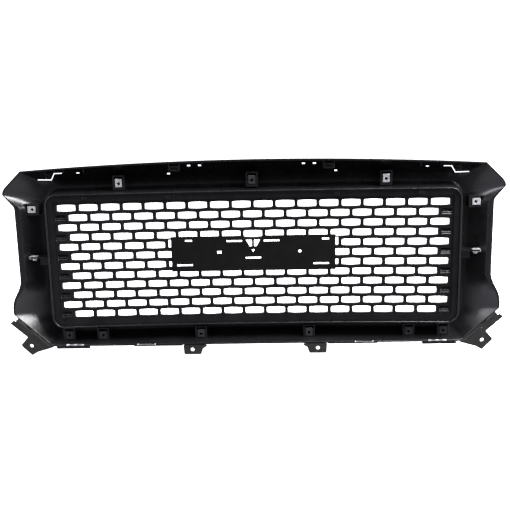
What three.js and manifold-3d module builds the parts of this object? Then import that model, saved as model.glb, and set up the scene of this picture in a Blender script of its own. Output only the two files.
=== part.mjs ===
// Front grille of a pickup truck: a hollow moulded surround that is open to the rear, a brick-pattern
// mesh insert, an emblem plate, sheet-steel nuts and the brackets that hold it to the vehicle.
// Millimetres. +X right as seen from behind the grille, +Y to the vehicle's front, +Z up.
// Everything is drawn about the middle of the mesh, whose rear face crosses Y = 0 there. The group
// then moves so that the origin lies on the rear face of the emblem plate.
import * as THREE from 'three';
import { mergeVertices } from 'three/addons/utils/BufferGeometryUtils.js';
import Module from 'manifold-3d';

const wasm = await Module();
wasm.setup();

// ---- driving dimensions -------------------------------------------------------------------------
const GAP = 0.3; // between touching pieces
const BOW = 7.6e-5; // plan-view curvature of the mesh and the rim, mm of depth per mm squared
const BOW_STRIPS = 7; // flat strips that make each half of a bent plate
const SHEET = 3; // wall of the surround
const DEEP = 60; // beyond the rear and the front of every piece, where cutting tools end

const RIM = { halfX: 451, halfZ: 148.5, radius: 22, y: -9, lip: 3 }; // raised lip around the mesh
const LEDGE = { width: 6, y: 7.6 }; // seat in front of the mesh border

const TOP_Z = 219.2; // top edge at the middle
const TOP_CORNER = [506, 203];
const SIDE_X = 525.5;
const BOTTOM_Z = -194;

const PITCH_X = 48.2; // mesh openings, brick pattern
const PITCH_Z = 22;
const ROWS = 12;
const OPENING = { width: 40.6, midHeight: 15.2, endHeight: 12.8 };
const MESH_DROP = 0.9; // the middle of the rows, below the middle of the rim
const MESH_DEPTH = 7;
const MESH_BORDER = { innerX: 437, innerZ: 133, rise: 4 }; // raised border around the openings

const PLATE = { halfX: 182.4, bottom: -28.5, top: 50.5, thick: 3, y: -5.9 };

const NUT = { width: 14.5, length: 17, sheet: 1.2, hole: 6, barrel: 9.5, barrelLength: 5 };
const PANEL_HOLE = NUT.hole / 2 + 1; // radius of the hole in the panel that a nut is clipped to
const HOUSE = { width: 26, below: 15, above: 18, nutEdge: 9, windowTop: 15, wall: 3 };

const ORIGIN_Z = 8; // height of the part's origin on the rear face of the emblem plate

const PLASTIC = new THREE.MeshStandardMaterial({ color: 0x141416, roughness: 0.42, metalness: 0 });
const SATIN = new THREE.MeshStandardMaterial({ color: 0x1d1d1f, roughness: 0.55, metalness: 0 });
const BRACKET = new THREE.MeshStandardMaterial({ color: 0x2b2b2c, roughness: 0.6, metalness: 0 });
const STEEL = new THREE.MeshStandardMaterial({ color: 0xa6a6a8, roughness: 0.35, metalness: 0.9 });
const DARK_STEEL = new THREE.MeshStandardMaterial({ color: 0x3a3a3b, roughness: 0.5, metalness: 0.8 });

const grille = new THREE.Group();
grille.position.set(0, -PLATE.y, -ORIGIN_Z);

// ---- solids -------------------------------------------------------------------------------------
const bowAt = (x) => -BOW * x * x;

function solidOf(geometry) {
  const bare = geometry.clone();
  bare.deleteAttribute('normal');
  bare.deleteAttribute('uv');
  const merged = mergeVertices(bare, 1e-4);
  const mesh = new wasm.Mesh({
    numProp: 3,
    vertProperties: Float32Array.from(merged.attributes.position.array),
    triVerts: Uint32Array.from(merged.index.array),
  });
  mesh.merge();
  return new wasm.Manifold(mesh);
}

function geometryOf(solid) {
  const mesh = solid.getMesh();
  const geometry = new THREE.BufferGeometry();
  geometry.setAttribute('position', new THREE.BufferAttribute(mesh.vertProperties, 3));
  geometry.setIndex(new THREE.BufferAttribute(mesh.triVerts, 1));
  return geometry;
}

function addNode(name, solid, material, place = new THREE.Matrix4()) {
  const geometry = geometryOf(solid);
  geometry.computeVertexNormals();
  const mesh = new THREE.Mesh(geometry, material);
  mesh.name = name;
  mesh.applyMatrix4(place);
  grille.add(mesh);
}

// A box from its lowest to its highest corner.
function block(low, high) {
  const geometry = new THREE.BoxGeometry(high[0] - low[0], high[1] - low[1], high[2] - low[2]);
  geometry.translate((low[0] + high[0]) / 2, (low[1] + high[1]) / 2, (low[2] + high[2]) / 2);
  return solidOf(geometry);
}

// A cylinder around the line from a to b.
function rod(a, b, radius, sides = 10) {
  const start = new THREE.Vector3(...a);
  const axis = new THREE.Vector3(...b).sub(start);
  const geometry = new THREE.CylinderGeometry(radius, radius, axis.length(), sides);
  const upright = new THREE.Vector3(0, 1, 0);
  geometry.applyQuaternion(new THREE.Quaternion().setFromUnitVectors(upright, axis.clone().normalize()));
  geometry.translate(start.x + axis.x / 2, start.y + axis.y / 2, start.z + axis.z / 2);
  return solidOf(geometry);
}

function shapeOf(points) {
  return new THREE.Shape(points.map(([x, y]) => new THREE.Vector2(x, y)));
}

// A plate whose outline lies in the XZ plane, between two depths.
function plateGeometry(shape, yLow, yHigh) {
  const geometry = new THREE.ExtrudeGeometry(shape, { depth: yHigh - yLow, bevelEnabled: false });
  geometry.rotateX(Math.PI / 2); // shape y becomes +Z, the extrusion runs towards -Y
  geometry.translate(0, yHigh, 0);
  return geometry;
}

function plateXZ(shape, yLow, yHigh) {
  return solidOf(plateGeometry(shape, yLow, yHigh));
}

// The same plate, bent in plan as the mesh is: a bowed slab trimmed to the outline.
function bentPlateXZ(shape, yLow, yHigh) {
  const rearEdge = [];
  for (let i = -BOW_STRIPS; i <= BOW_STRIPS; i += 1) {
    const x = (i / BOW_STRIPS) * RIM.halfX;
    rearEdge.push([x, yLow + bowAt(x)]);
  }
  const frontEdge = rearEdge.map(([x, y]) => [x, y + yHigh - yLow]).reverse();
  const profile = shapeOf([...rearEdge, ...frontEdge]);
  const slab = new THREE.ExtrudeGeometry(profile, { depth: 2 * TOP_Z, bevelEnabled: false });
  slab.translate(0, 0, -TOP_Z);
  return solidOf(slab).intersect(plateXZ(shape, -DEEP, DEEP));
}

function mirrored(solid) {
  return solid.mirror([1, 0, 0]);
}

function transformed(solid, matrix) {
  return solid.transform(matrix.elements);
}

// ---- surround: outline, rim and section ---------------------------------------------------------
// Arc length along the rim, from its top middle over the right side to its bottom middle.
const RIM_TOP = RIM.halfX - RIM.radius;
const RIM_SIDE = 2 * (RIM.halfZ - RIM.radius);
const RIM_ARC = (Math.PI / 2) * RIM.radius;
const RIM_LENGTH = 2 * RIM_TOP + RIM_SIDE + 2 * RIM_ARC;

function rimPoint(s) {
  if (s > RIM_LENGTH / 2) {
    const [x, z] = rimPoint(RIM_LENGTH - s);
    return [x, -z];
  }
  if (s <= RIM_TOP) {
    return [s, RIM.halfZ];
  }
  if (s < RIM_TOP + RIM_ARC) {
    const angle = (s - RIM_TOP) / RIM.radius;
    const x = RIM_TOP + RIM.radius * Math.sin(angle);
    return [x, RIM.halfZ - RIM.radius * (1 - Math.cos(angle))];
  }
  return [RIM.halfX, RIM.halfZ - RIM.radius - (s - RIM_TOP - RIM_ARC)];
}

const line = (a, b) => new THREE.LineCurve(new THREE.Vector2(...a), new THREE.Vector2(...b));
const arc = (...points) =>
  new THREE.QuadraticBezierCurve(...points.map(([x, z]) => new THREE.Vector2(x, z)));

// The right half of the outline. Each stretch has its curve in XZ, the stretch of the rim that it
// faces, how many sections it takes, and the values at its two ends of the flange width, the depth
// of the rear edge, the depth of the hollow and the bend of the outer wall: the power of its rise.
const EAR_TOP = [539, 171];
const EAR_TIP = [549, 151];
const NOTCH = [529, 127];
const SIDE_TOP = [SIDE_X, 116];
const SIDE_LOW = [SIDE_X, -44];
const FLARE_TOP = [541, -82];
const FLARE_LOW = [546.5, -122];
const DIAGONAL_END = [470, -189];
const LIP_START = [446, BOTTOM_Z];

const crownZ = (x) => TOP_Z - ((TOP_Z - TOP_CORNER[1]) * x * x) / TOP_CORNER[0] ** 2;
const crown = (from, to) => ({
  getPoint: (t) => {
    const x = from + (to - from) * t;
    return new THREE.Vector2(x, crownZ(x));
  },
});

const OUTLINE = [
  {
    curve: crown(0, 470),
    rim: [0, RIM_TOP],
    sections: 8,
    ends: { flange: [4, 4], edge: [-5, -11], floor: [47, 45], bend: [1.7, 1.7] },
  },
  {
    curve: crown(470, TOP_CORNER[0]),
    rim: [RIM_TOP, 446],
    sections: 3,
    ends: { flange: [4, 4], edge: [-11, -12], floor: [45, 44], bend: [1.7, 1.7] },
  },
  {
    curve: line(TOP_CORNER, EAR_TOP),
    rim: [446, 456],
    sections: 2,
    ends: { flange: [4, 4], edge: [-12, -12], floor: [44, 42], bend: [1.7, 1.3] },
  },
  {
    curve: arc(EAR_TOP, [551, 159], EAR_TIP),
    rim: [456, 464],
    sections: 3,
    ends: { flange: [4, 4], edge: [-12, -11], floor: [42, 42], bend: [1.3, 1.15] },
  },
  {
    curve: line(EAR_TIP, NOTCH),
    rim: [464, 474],
    sections: 2,
    ends: { flange: [4, 13], edge: [-11, -10], floor: [42, 42], bend: [1.15, 1.7] },
  },
  {
    curve: arc(NOTCH, [SIDE_X, 123], SIDE_TOP),
    rim: [474, 484],
    sections: 2,
    ends: { flange: [13, 13], edge: [-10, -10], floor: [42, 42], bend: [1.7, 1.7] },
  },
  {
    curve: line(SIDE_TOP, SIDE_LOW),
    rim: [484, 642],
    sections: 2,
    ends: { flange: [13, 13], edge: [-10, -10], floor: [42, 42], bend: [1.7, 1.7] },
  },
  {
    curve: arc(SIDE_LOW, [526, -56], FLARE_TOP),
    rim: [642, 680],
    sections: 3,
    ends: { flange: [13, 6], edge: [-10, -10], floor: [42, 41], bend: [1.7, 1.4] },
  },
  {
    curve: arc(FLARE_TOP, [550, -101], FLARE_LOW),
    rim: [680, 714],
    sections: 4,
    ends: { flange: [6, 4], edge: [-10, -12], floor: [41, 40], bend: [1.4, 1.15] },
  },
  {
    curve: line(FLARE_LOW, DIAGONAL_END),
    rim: [714, 740],
    sections: 3,
    ends: { flange: [4, 4], edge: [-12, -22], floor: [40, 38], bend: [1.15, 1.5] },
  },
  {
    curve: arc(DIAGONAL_END, [464, BOTTOM_Z], LIP_START),
    rim: [740, RIM_LENGTH - RIM_TOP],
    sections: 3,
    ends: { flange: [4, 4], edge: [-22, -26], floor: [38, 36], bend: [1.5, 3] },
  },
  {
    curve: line(LIP_START, [0, BOTTOM_Z + 1]),
    rim: [RIM_LENGTH - RIM_TOP, RIM_LENGTH],
    sections: 6,
    ends: { flange: [4, 4], edge: [-26, -26], floor: [36, 38], bend: [3, 3] },
  },
];

const mix = (pair, t) => pair[0] + (pair[1] - pair[0]) * t;

function stationsOfRightHalf() {
  const stations = [];
  for (const part of OUTLINE) {
    for (let i = 0; i < part.sections; i += 1) {
      stations.push(stationAt(part, i / part.sections));
    }
  }
  stations.push(stationAt(OUTLINE[OUTLINE.length - 1], 1));
  return stations;
}

function stationAt(part, t) {
  const outer = part.curve.getPoint(t);
  return {
    rim: rimPoint(mix(part.rim, t)),
    outer: [outer.x, outer.y],
    flange: mix(part.ends.flange, t),
    edge: mix(part.ends.edge, t),
    floor: mix(part.ends.floor, t),
    bend: mix(part.ends.bend, t),
  };
}

// The section of the hollow: a steep inner wall behind the rim's lip, a level floor, and an outer
// wall that rises in a curve to the rear edge.
const INNER_WALL = [
  { out: 1.5, depth: 16, from: 'lip' },
  { out: 3.5, depth: -12, from: 'floor' },
  { out: 6, depth: -4, from: 'floor' },
  { out: 11, depth: 0, from: 'floor' },
];
const FLOOR_START = RIM.lip + 11;
const OUTER_WALL = { share: 0.9, steps: [0.3, 0.55, 0.79] };

// The rear side of the wall at one station: points [distance from the rim, depth] from the lip's
// crest down into the hollow and up the outer wall to the rear edge.
function hollowProfile(station) {
  const width = Math.hypot(station.outer[0] - station.rim[0], station.outer[1] - station.rim[1]);
  const bow = bowAt(station.rim[0]);
  const rimY = RIM.y + bow;
  const floorY = station.floor + bow;
  const wallTop = width - station.flange;
  const run = OUTER_WALL.share * (wallTop - FLOOR_START);
  const wallFoot = wallTop - run;
  const points = [[RIM.lip, rimY]];
  for (const { out, depth, from } of INNER_WALL) {
    points.push([RIM.lip + out, (from === 'lip' ? rimY : floorY) + depth]);
  }
  points.push([wallFoot, floorY]);
  for (const part of OUTER_WALL.steps) {
    const rise = part ** station.bend;
    points.push([wallFoot + part * run, floorY - rise * (floorY - station.edge)]);
  }
  points.push([wallTop, station.edge]);
  return { points, width, rimY, floorY };
}

// The same line moved out of the hollow by a distance, square to itself.
function offsetLine(points, distance) {
  return points.map((point, i) => {
    const before = points[Math.max(i - 1, 0)];
    const after = points[Math.min(i + 1, points.length - 1)];
    const dx = after[0] - before[0];
    const dy = after[1] - before[1];
    const length = Math.hypot(dx, dy);
    return [point[0] - (dy / length) * distance, point[1] + (dx / length) * distance];
  });
}

// The whole wall: the hollow's side, the flange, and back along the front side to the ledge that
// the mesh border lies on.
function wallSection(station) {
  const { points, width, rimY, floorY } = hollowProfile(station);
  const ledgeY = LEDGE.y + bowAt(station.rim[0]);
  const outerWall = offsetLine(points, SHEET).slice(INNER_WALL.length + 1, -1).reverse();
  return [
    [0, rimY],
    ...points,
    [width, station.edge],
    [width, station.edge + SHEET],
    [width - station.flange + SHEET + 0.4, station.edge + SHEET + 0.6],
    ...outerWall,
    [12, floorY + SHEET],
    [6, floorY + 1],
    [RIM.lip + 0.4, floorY - 12],
    [-1, ledgeY + SHEET + 8],
    [-LEDGE.width, ledgeY + SHEET],
    [-LEDGE.width, ledgeY],
    [0, ledgeY],
  ];
}

// The room inside the hollow, down to the middle of the wall and open far to the rear.
function roomSection(station) {
  const middle = offsetLine(hollowProfile(station).points, SHEET / 2);
  return [[middle[0][0], -DEEP], ...middle, [middle[middle.length - 1][0], -DEEP]];
}

// Sweeps a closed section right round the grille.
function sweep(section) {
  const right = stationsOfRightHalf();
  const left = right.slice(1, -1).reverse().map((station) => ({ ...station, mirrored: true }));
  const rings = [...right, ...left].map((station) => {
    const [rx, rz] = station.rim;
    const [ox, oz] = station.outer;
    const width = Math.hypot(ox - rx, oz - rz);
    const side = station.mirrored ? -1 : 1;
    const across = [(ox - rx) / width, (oz - rz) / width];
    return section(station).map(([w, y]) => [side * (rx + w * across[0]), y, rz + w * across[1]]);
  });
  const count = rings[0].length;
  const positions = rings.flat(2);
  const index = [];
  for (let i = 0; i < rings.length; i += 1) {
    const next = (i + 1) % rings.length;
    for (let j = 0; j < count; j += 1) {
      const k = (j + 1) % count;
      const a = i * count + j;
      const b = next * count + j;
      const c = next * count + k;
      const d = i * count + k;
      index.push(a, b, c, a, c, d);
    }
  }
  return solidOf(outward(positions, index));
}

// Builds the geometry with its faces pointing out, whichever way round the section runs.
function outward(positions, index) {
  let volume = 0;
  const at = (i) => new THREE.Vector3().fromArray(positions, 3 * i);
  for (let i = 0; i < index.length; i += 3) {
    volume += at(index[i]).dot(at(index[i + 1]).cross(at(index[i + 2])));
  }
  const order = volume < 0 ? index.slice().reverse() : index;
  const geometry = new THREE.BufferGeometry();
  geometry.setAttribute('position', new THREE.Float32BufferAttribute(positions, 3));
  geometry.setIndex(order);
  return geometry;
}

// ---- nuts and the houses that carry them --------------------------------------------------------
// Both are drawn in one local frame: u across, v towards the edge that the nut wraps, n out of the
// face that shows. A seat gives that frame a place and its directions.
function seatMatrix(seat) {
  const v = new THREE.Vector3(...seat.towards);
  const n = new THREE.Vector3(...seat.facing);
  const u = new THREE.Vector3().crossVectors(v, n);
  return new THREE.Matrix4().makeBasis(u, v, n).setPosition(...seat.at);
}

const rear = [0, -1, 0];
const up = [0, 0, 1];
const seat = (x, y, z, towards = up, facing = rear) => ({ at: [x, y, z], towards, facing });

function mirroredSeat({ at, towards, facing }) {
  const flip = ([x, y, z]) => [-x, y, z];
  return { at: flip(at), towards: flip(towards), facing: flip(facing) };
}

// A nut of bent sheet: two leaves over the edge of a panel, with a threaded barrel on the far one.
function sheetNut() {
  const edge = HOUSE.nutEdge + GAP;
  const foot = edge - NUT.length;
  const nearFace = GAP;
  const farFace = -SHEET - GAP;
  const profile = shapeOf([
    [foot, nearFace],
    [edge, nearFace],
    [edge, farFace],
    [foot, farFace],
    [foot, farFace - NUT.sheet],
    [edge + NUT.sheet, farFace - NUT.sheet],
    [edge + NUT.sheet, nearFace + NUT.sheet],
    [foot, nearFace + NUT.sheet],
  ]);
  const strip = new THREE.ExtrudeGeometry(profile, { depth: NUT.width, bevelEnabled: false });
  const turn = new THREE.Matrix4().makeBasis(
    new THREE.Vector3(0, 1, 0),
    new THREE.Vector3(0, 0, 1),
    new THREE.Vector3(1, 0, 0),
  );
  strip.applyMatrix4(turn);
  strip.translate(-NUT.width / 2, 0, 0);
  const barrelTop = farFace - NUT.sheet / 2;
  const barrel = rod([0, 0, barrelTop], [0, 0, barrelTop - NUT.barrelLength], NUT.barrel / 2);
  const hole = rod([0, 0, -DEEP], [0, 0, DEEP], NUT.hole / 2);
  return solidOf(strip).add(barrel).subtract(hole);
}

// A hollow house that rises from the floor of the surround; the nut wraps the lower edge of its window.
function nutHouse(place) {
  const half = HOUSE.width / 2;
  const inner = half - HOUSE.wall;
  const outside = block([-half, -HOUSE.below, -DEEP], [half, HOUSE.above, 0]);
  const inside = block(
    [-inner, -HOUSE.below + HOUSE.wall, -DEEP - 1],
    [inner, HOUSE.windowTop, -HOUSE.wall],
  );
  const window = block([-inner, HOUSE.nutEdge, -HOUSE.wall - 1], [inner, HOUSE.windowTop, 1]);
  const hole = rod([0, 0, -HOUSE.wall - 1], [0, 0, 1], PANEL_HOLE);
  return transformed(outside.subtract(inside).subtract(window).subtract(hole), seatMatrix(place));
}

const OUTBOARD = [1, 0, 0];
const NUT_SEATS = [
  { name: 'top_nut', place: seat(294.6, 9.5, 169.7), steel: STEEL },
  { name: 'side_nut', place: seat(489, 1.5, 116.8, OUTBOARD), steel: STEEL },
  { name: 'lower_nut_outer', place: seat(424.7, -3.5, -174.6), steel: DARK_STEEL },
  { name: 'lower_nut_middle', place: seat(347.2, -3.5, -175.6), steel: DARK_STEEL },
  { name: 'lower_nut_inner', place: seat(122.8, -3.5, -174.7), steel: DARK_STEEL },
];
const CENTER_SEAT = seat(0, 9.5, 172);

// ---- side tabs: a level shelf with a skirt under it, and a nut over the shelf's outboard edge ----
const SHELF = { left: 460, right: 499.5, z: 11, rear: -11, skirtRight: 479, skirtLow: -9, skirtY: -2 };
const SHELF_NUT = {
  name: 'side_clip',
  place: seat(SHELF.right - HOUSE.nutEdge, SHELF.rear + NUT.width / 2 + GAP, SHELF.z, OUTBOARD, up),
  steel: STEEL,
};

function sideTab() {
  const { left, right, z } = SHELF;
  const shelf = block([left, SHELF.rear, z - SHEET], [right, DEEP, z]);
  const skirtFront = SHELF.skirtY + SHEET;
  const skirt = block([left, SHELF.skirtY, SHELF.skirtLow], [SHELF.skirtRight, skirtFront, z]);
  const [x, y] = SHELF_NUT.place.at;
  const hole = rod([x, y, z - SHEET - 1], [x, y, z + 1], PANEL_HOLE);
  return shelf.subtract(hole).add(skirt);
}

// ---- ribs and slots of the top and bottom edges -------------------------------------------------
const RIB = { thick: 2.2, low: 197, rear: -4.5 };
const RIB_PLACES = [157, 180, 367, 411, 431, 453];
const TOP_SLOTS = [
  { from: [441.5, 183], to: [470.5, 183.4], height: 1.8 },
  { from: [433.6, 196], to: [441.5, 183], height: 1.8 },
  { from: [417.5, 196.4], to: [433.6, 196], height: 1.8 },
  { from: [379, 196.6], to: [383.5, 196.6], height: 2 },
  { from: [180.5, 192.4], to: [184.5, 192.4], height: 3 },
  { from: [134.5, 208], to: [139.5, 208], height: 3 },
  { from: [111, 208], to: [115.5, 208], height: 3 },
];
const LIP_SLOTS = [
  { low: 388, high: 429 },
  { low: 224, high: 267 },
];
const LIP_SLOT = { z: -191.2, height: 3, rear: -40, front: -12 };
const LIP_BARS = [
  { low: 374, high: 450, bottom: -199 },
  { low: 164, high: 274, bottom: -195.4 },
];
const LIP_BAR = { rear: -26, front: -23 };

// Towards the front, the slots of the top edge fall by SLOT_FALL per mm of depth and spread from the
// middle of the grille by SLOT_SPREAD of their distance from it.
const SLOT_FALL = 0.15;
const SLOT_SPREAD = 1 / 1700;
const SLOT_OVERRUN = 1; // neighbouring slots run into each other
const SLOT_REAR = -8;

function topRib(x) {
  return block([x - RIB.thick / 2, RIB.rear, RIB.low], [x + RIB.thick / 2, DEEP, TOP_Z]);
}

function topSlot({ from, to, height }) {
  const length = Math.hypot(to[0] - from[0], to[1] - from[1]);
  const shape = shapeOf([
    [-SLOT_OVERRUN, -height / 2],
    [length + SLOT_OVERRUN, -height / 2],
    [length + SLOT_OVERRUN, height / 2],
    [-SLOT_OVERRUN, height / 2],
  ]);
  const cut = plateXZ(shape, SLOT_REAR, DEEP);
  const angle = Math.atan2(to[1] - from[1], to[0] - from[0]);
  const matrix = new THREE.Matrix4().makeRotationY(-angle).setPosition(from[0], 0, from[1]);
  const spread = SLOT_SPREAD * from[0];
  const lean = new THREE.Matrix4().set(1, spread, 0, 0, 0, 1, 0, 0, 0, -SLOT_FALL, 1, 0, 0, 0, 0, 1);
  return transformed(cut, lean.multiply(matrix));
}

function lipSlot({ low, high }) {
  return block(
    [low, LIP_SLOT.rear, LIP_SLOT.z - LIP_SLOT.height / 2],
    [high, LIP_SLOT.front, LIP_SLOT.z + LIP_SLOT.height / 2],
  );
}

function lipBar({ low, high, bottom }) {
  return block([low, LIP_BAR.rear, bottom], [high, LIP_BAR.front, LIP_SLOT.z - LIP_SLOT.height / 2]);
}

// ---- surround shell -----------------------------------------------------------------------------
function bothSides(solids) {
  return solids.flatMap((solid) => [solid, mirrored(solid)]);
}

function surroundShell() {
  const room = sweep(roomSection);
  const fittings = bothSides([
    ...NUT_SEATS.map(({ place }) => nutHouse(place)),
    sideTab(),
    ...RIB_PLACES.map(topRib),
  ]);
  const cuts = bothSides([...TOP_SLOTS.map(topSlot), ...LIP_SLOTS.map(lipSlot), ...screwHoles()]);
  const inside = wasm.Manifold.union([nutHouse(CENTER_SEAT), ...fittings]).intersect(room);
  const outside = wasm.Manifold.union(bothSides(screwBosses())).subtract(room);
  const bars = wasm.Manifold.union(bothSides(LIP_BARS.map(lipBar)));
  const wall = wasm.Manifold.union([sweep(wallSection), inside, outside]);
  return wall.subtract(wasm.Manifold.union(cuts)).add(bars);
}

// ---- mesh insert --------------------------------------------------------------------------------
const rowZ = (row) => ((ROWS - 1) / 2 - row) * PITCH_Z - MESH_DROP;
const isWideRow = (row) => row % 2 === 0;
const WINDOW_ROWS = [4, 5, 6]; // the rows that the emblem plate covers
const WINDOW = { wide: 189, narrow: 164.9, top: 43.5 };
const POCKET = { inner: 413.5, outer: 434.5, front: 5 }; // blind half openings of the narrow rows

function openingsOf(row) {
  const centers = [];
  const count = isWideRow(row) ? 18 : 17;
  for (let i = 0; i < count; i += 1) {
    centers.push((i - (count - 1) / 2) * PITCH_X);
  }
  if (!WINDOW_ROWS.includes(row)) {
    return centers;
  }
  const limit = isWideRow(row) ? WINDOW.wide : WINDOW.narrow;
  return centers.filter((x) => Math.abs(x) > limit);
}

// A flattened hexagon: a little higher in the middle than at its ends.
function openingCut(x, z) {
  const w = OPENING.width / 2;
  const mid = OPENING.midHeight / 2;
  const end = OPENING.endHeight / 2;
  const points = [[-w, -end], [0, -mid], [w, -end], [w, end], [0, mid], [-w, end]];
  return plateXZ(shapeOf(points.map(([dx, dz]) => [x + dx, z + dz])), -DEEP, DEEP);
}

// One stepped window behind the emblem plate, which joins the openings that it takes the place of.
function windowCut() {
  const half = OPENING.endHeight / 2;
  const [upper, , lower] = WINDOW_ROWS.map(rowZ);
  const band = (halfX, low, high) => block([-halfX, -DEEP, low], [halfX, DEEP, high]);
  return wasm.Manifold.union([
    band(WINDOW.narrow, lower - half, WINDOW.top),
    band(WINDOW.wide, upper - half, WINDOW.top),
    band(WINDOW.wide, lower - half, lower + half),
  ]);
}

function pocketCut(side, row) {
  const [low, high] = side > 0 ? [POCKET.inner, POCKET.outer] : [-POCKET.outer, -POCKET.inner];
  const half = OPENING.endHeight / 2;
  const front = POCKET.front + bowAt(POCKET.inner);
  return block([low, -DEEP, rowZ(row) - half], [high, front, rowZ(row) + half]);
}

function roundedOutline(halfX, halfZ, radius) {
  const SEGMENTS = 4;
  const points = [];
  for (let i = 0; i < 4 * (SEGMENTS + 1); i += 1) {
    const quarter = Math.floor(i / (SEGMENTS + 1));
    const angle = (quarter + (i % (SEGMENTS + 1)) / SEGMENTS) * (Math.PI / 2);
    const sx = quarter === 0 || quarter === 3 ? 1 : -1;
    const sz = quarter < 2 ? 1 : -1;
    points.push([
      sx * (halfX - radius) + radius * Math.cos(angle),
      sz * (halfZ - radius) + radius * Math.sin(angle),
    ]);
  }
  return points;
}

const HOOK_PLACES = [185, 367];
const HOOK = { width: 12, rise: 2.5, low: 137, high: 146 };

function snapHook(x) {
  const y = bowAt(x) - MESH_BORDER.rise;
  return block([x - HOOK.width / 2, y - HOOK.rise, HOOK.low], [x + HOOK.width / 2, y + 1, HOOK.high]);
}

function meshInsert() {
  const outline = roundedOutline(RIM.halfX - GAP, RIM.halfZ - GAP, RIM.radius + 3);
  const inner = roundedOutline(MESH_BORDER.innerX, MESH_BORDER.innerZ, 2);
  const cuts = [windowCut()]; // straight through, along Y
  for (let row = 0; row < ROWS; row += 1) {
    cuts.push(...openingsOf(row).map((x) => openingCut(x, rowZ(row))));
    if (!isWideRow(row)) {
      cuts.push(pocketCut(1, row), pocketCut(-1, row));
    }
  }
  const panel = bentPlateXZ(shapeOf(outline), -MESH_BORDER.rise, MESH_DEPTH);
  const recess = bentPlateXZ(shapeOf(inner), -MESH_BORDER.rise - 1, 0);
  const hooks = wasm.Manifold.union(bothSides(HOOK_PLACES.map(snapHook)));
  return panel.subtract(wasm.Manifold.union([recess, ...cuts])).add(hooks);
}

// ---- emblem plate -------------------------------------------------------------------------------
const SLOT_HEIGHT = 4;
const PLATE_SLOTS = [
  [-151, -135.4, 41.1],
  [152.8, 168.6, 41.1],
  [-58.7, -24.2, 38.9],
  [24.2, 58.7, 38.9],
  [-17, 17, 0.5],
  [-170.8, -135.6, -14.3],
  [133.2, 168, -14.4],
];
const NOTCH_HALF = 23;
const NOTCH_Z = 45.3;
const VEE = { halfX: 16, top: 41.4, apex: 13, crossLow: 19.6, crossHigh: 26.4, bar: 2.5 };
const SQUARE_HOLE = { left: -80, right: -70.5, low: 11, high: 17 };
const ROUND_HOLE = { x: 103.5, z: 14, radius: 3.4 };

// The V-shaped cut is left in three windows by an upright and a level bar.
function veeShapes() {
  const edgeX = (z) => (VEE.halfX * (z - VEE.apex)) / (VEE.top - VEE.apex);
  const side = (sign) => [
    [sign * VEE.bar, VEE.crossHigh],
    [sign * edgeX(VEE.crossHigh), VEE.crossHigh],
    [sign * VEE.halfX, VEE.top],
    [sign * VEE.bar, VEE.top],
  ];
  const tip = [
    [0, VEE.apex],
    [edgeX(VEE.crossLow), VEE.crossLow],
    [-edgeX(VEE.crossLow), VEE.crossLow],
  ];
  return [side(1), side(-1), tip].map(shapeOf);
}

function emblemPlate() {
  const cutBox = (x0, x1, z0, z1) => block([x0, -DEEP, z0], [x1, DEEP, z1]);
  const half = SLOT_HEIGHT / 2;
  const { x, z, radius } = ROUND_HOLE;
  const cuts = [
    ...PLATE_SLOTS.map(([x0, x1, slotZ]) => cutBox(x0, x1, slotZ - half, slotZ + half)),
    ...veeShapes().map((shape) => plateXZ(shape, -DEEP, DEEP)),
    cutBox(-NOTCH_HALF, NOTCH_HALF, NOTCH_Z, PLATE.top + 1),
    cutBox(SQUARE_HOLE.left, SQUARE_HOLE.right, SQUARE_HOLE.low, SQUARE_HOLE.high),
    rod([x, -DEEP, z], [x, DEEP, z], radius),
  ];
  const low = [-PLATE.halfX, PLATE.y, PLATE.bottom];
  const high = [PLATE.halfX, PLATE.y + PLATE.thick, PLATE.top];
  return block(low, high).subtract(wasm.Manifold.union(cuts));
}

// ---- lower tabs and corner brackets -------------------------------------------------------------
const BRACKET_REAR = -26; // the plane that bolts to the vehicle
const BRACKET_SHEET = 3;
const SCREW = { radius: 2.5, head: 5, headHeight: 3, clearance: 3 };
const HOLE_SIDES = 20;

const TAB_TOP = BOTTOM_Z - GAP - 0.2;
const TAB = { x: 141.4, z: -205.1, hole: 4.7, low: -216 };
const TAB_OUTLINE = [
  [109, TAB_TOP - 3],
  [109, TAB_TOP],
  [162, TAB_TOP],
  [160, TAB.low],
  [122.5, TAB.low],
  [117.5, TAB_TOP - 8],
];
const TAB_LEG = { left: 112, right: 160, front: -6, low: TAB_TOP - 2.6 };
const TAB_SCREW = { x: TAB.x, y: -15, reach: 6.4 };

function lowerTab() {
  const rearFace = BRACKET_REAR;
  const frontFace = BRACKET_REAR + BRACKET_SHEET;
  const plate = plateXZ(shapeOf(TAB_OUTLINE), rearFace, frontFace);
  const leg = block([TAB_LEG.left, rearFace + 1, TAB_LEG.low], [TAB_LEG.right, TAB_LEG.front, TAB_TOP]);
  const hole = rod([TAB.x, rearFace - 1, TAB.z], [TAB.x, frontFace + 1, TAB.z], TAB.hole, HOLE_SIDES);
  return plate.add(leg).subtract(hole).subtract(tabScrewHole());
}

function tabScrewHole() {
  const { x, y, reach } = TAB_SCREW;
  return rod([x, y, TAB.z], [x, y, TAB_LEG.low + reach], SCREW.clearance);
}

function tabScrew() {
  const { x, y, reach } = TAB_SCREW;
  const head = TAB_LEG.low - GAP;
  const cap = rod([x, y, head], [x, y, head - SCREW.headHeight], SCREW.head);
  return cap.add(rod([x, y, head - 1], [x, y, head + reach], SCREW.radius));
}

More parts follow.
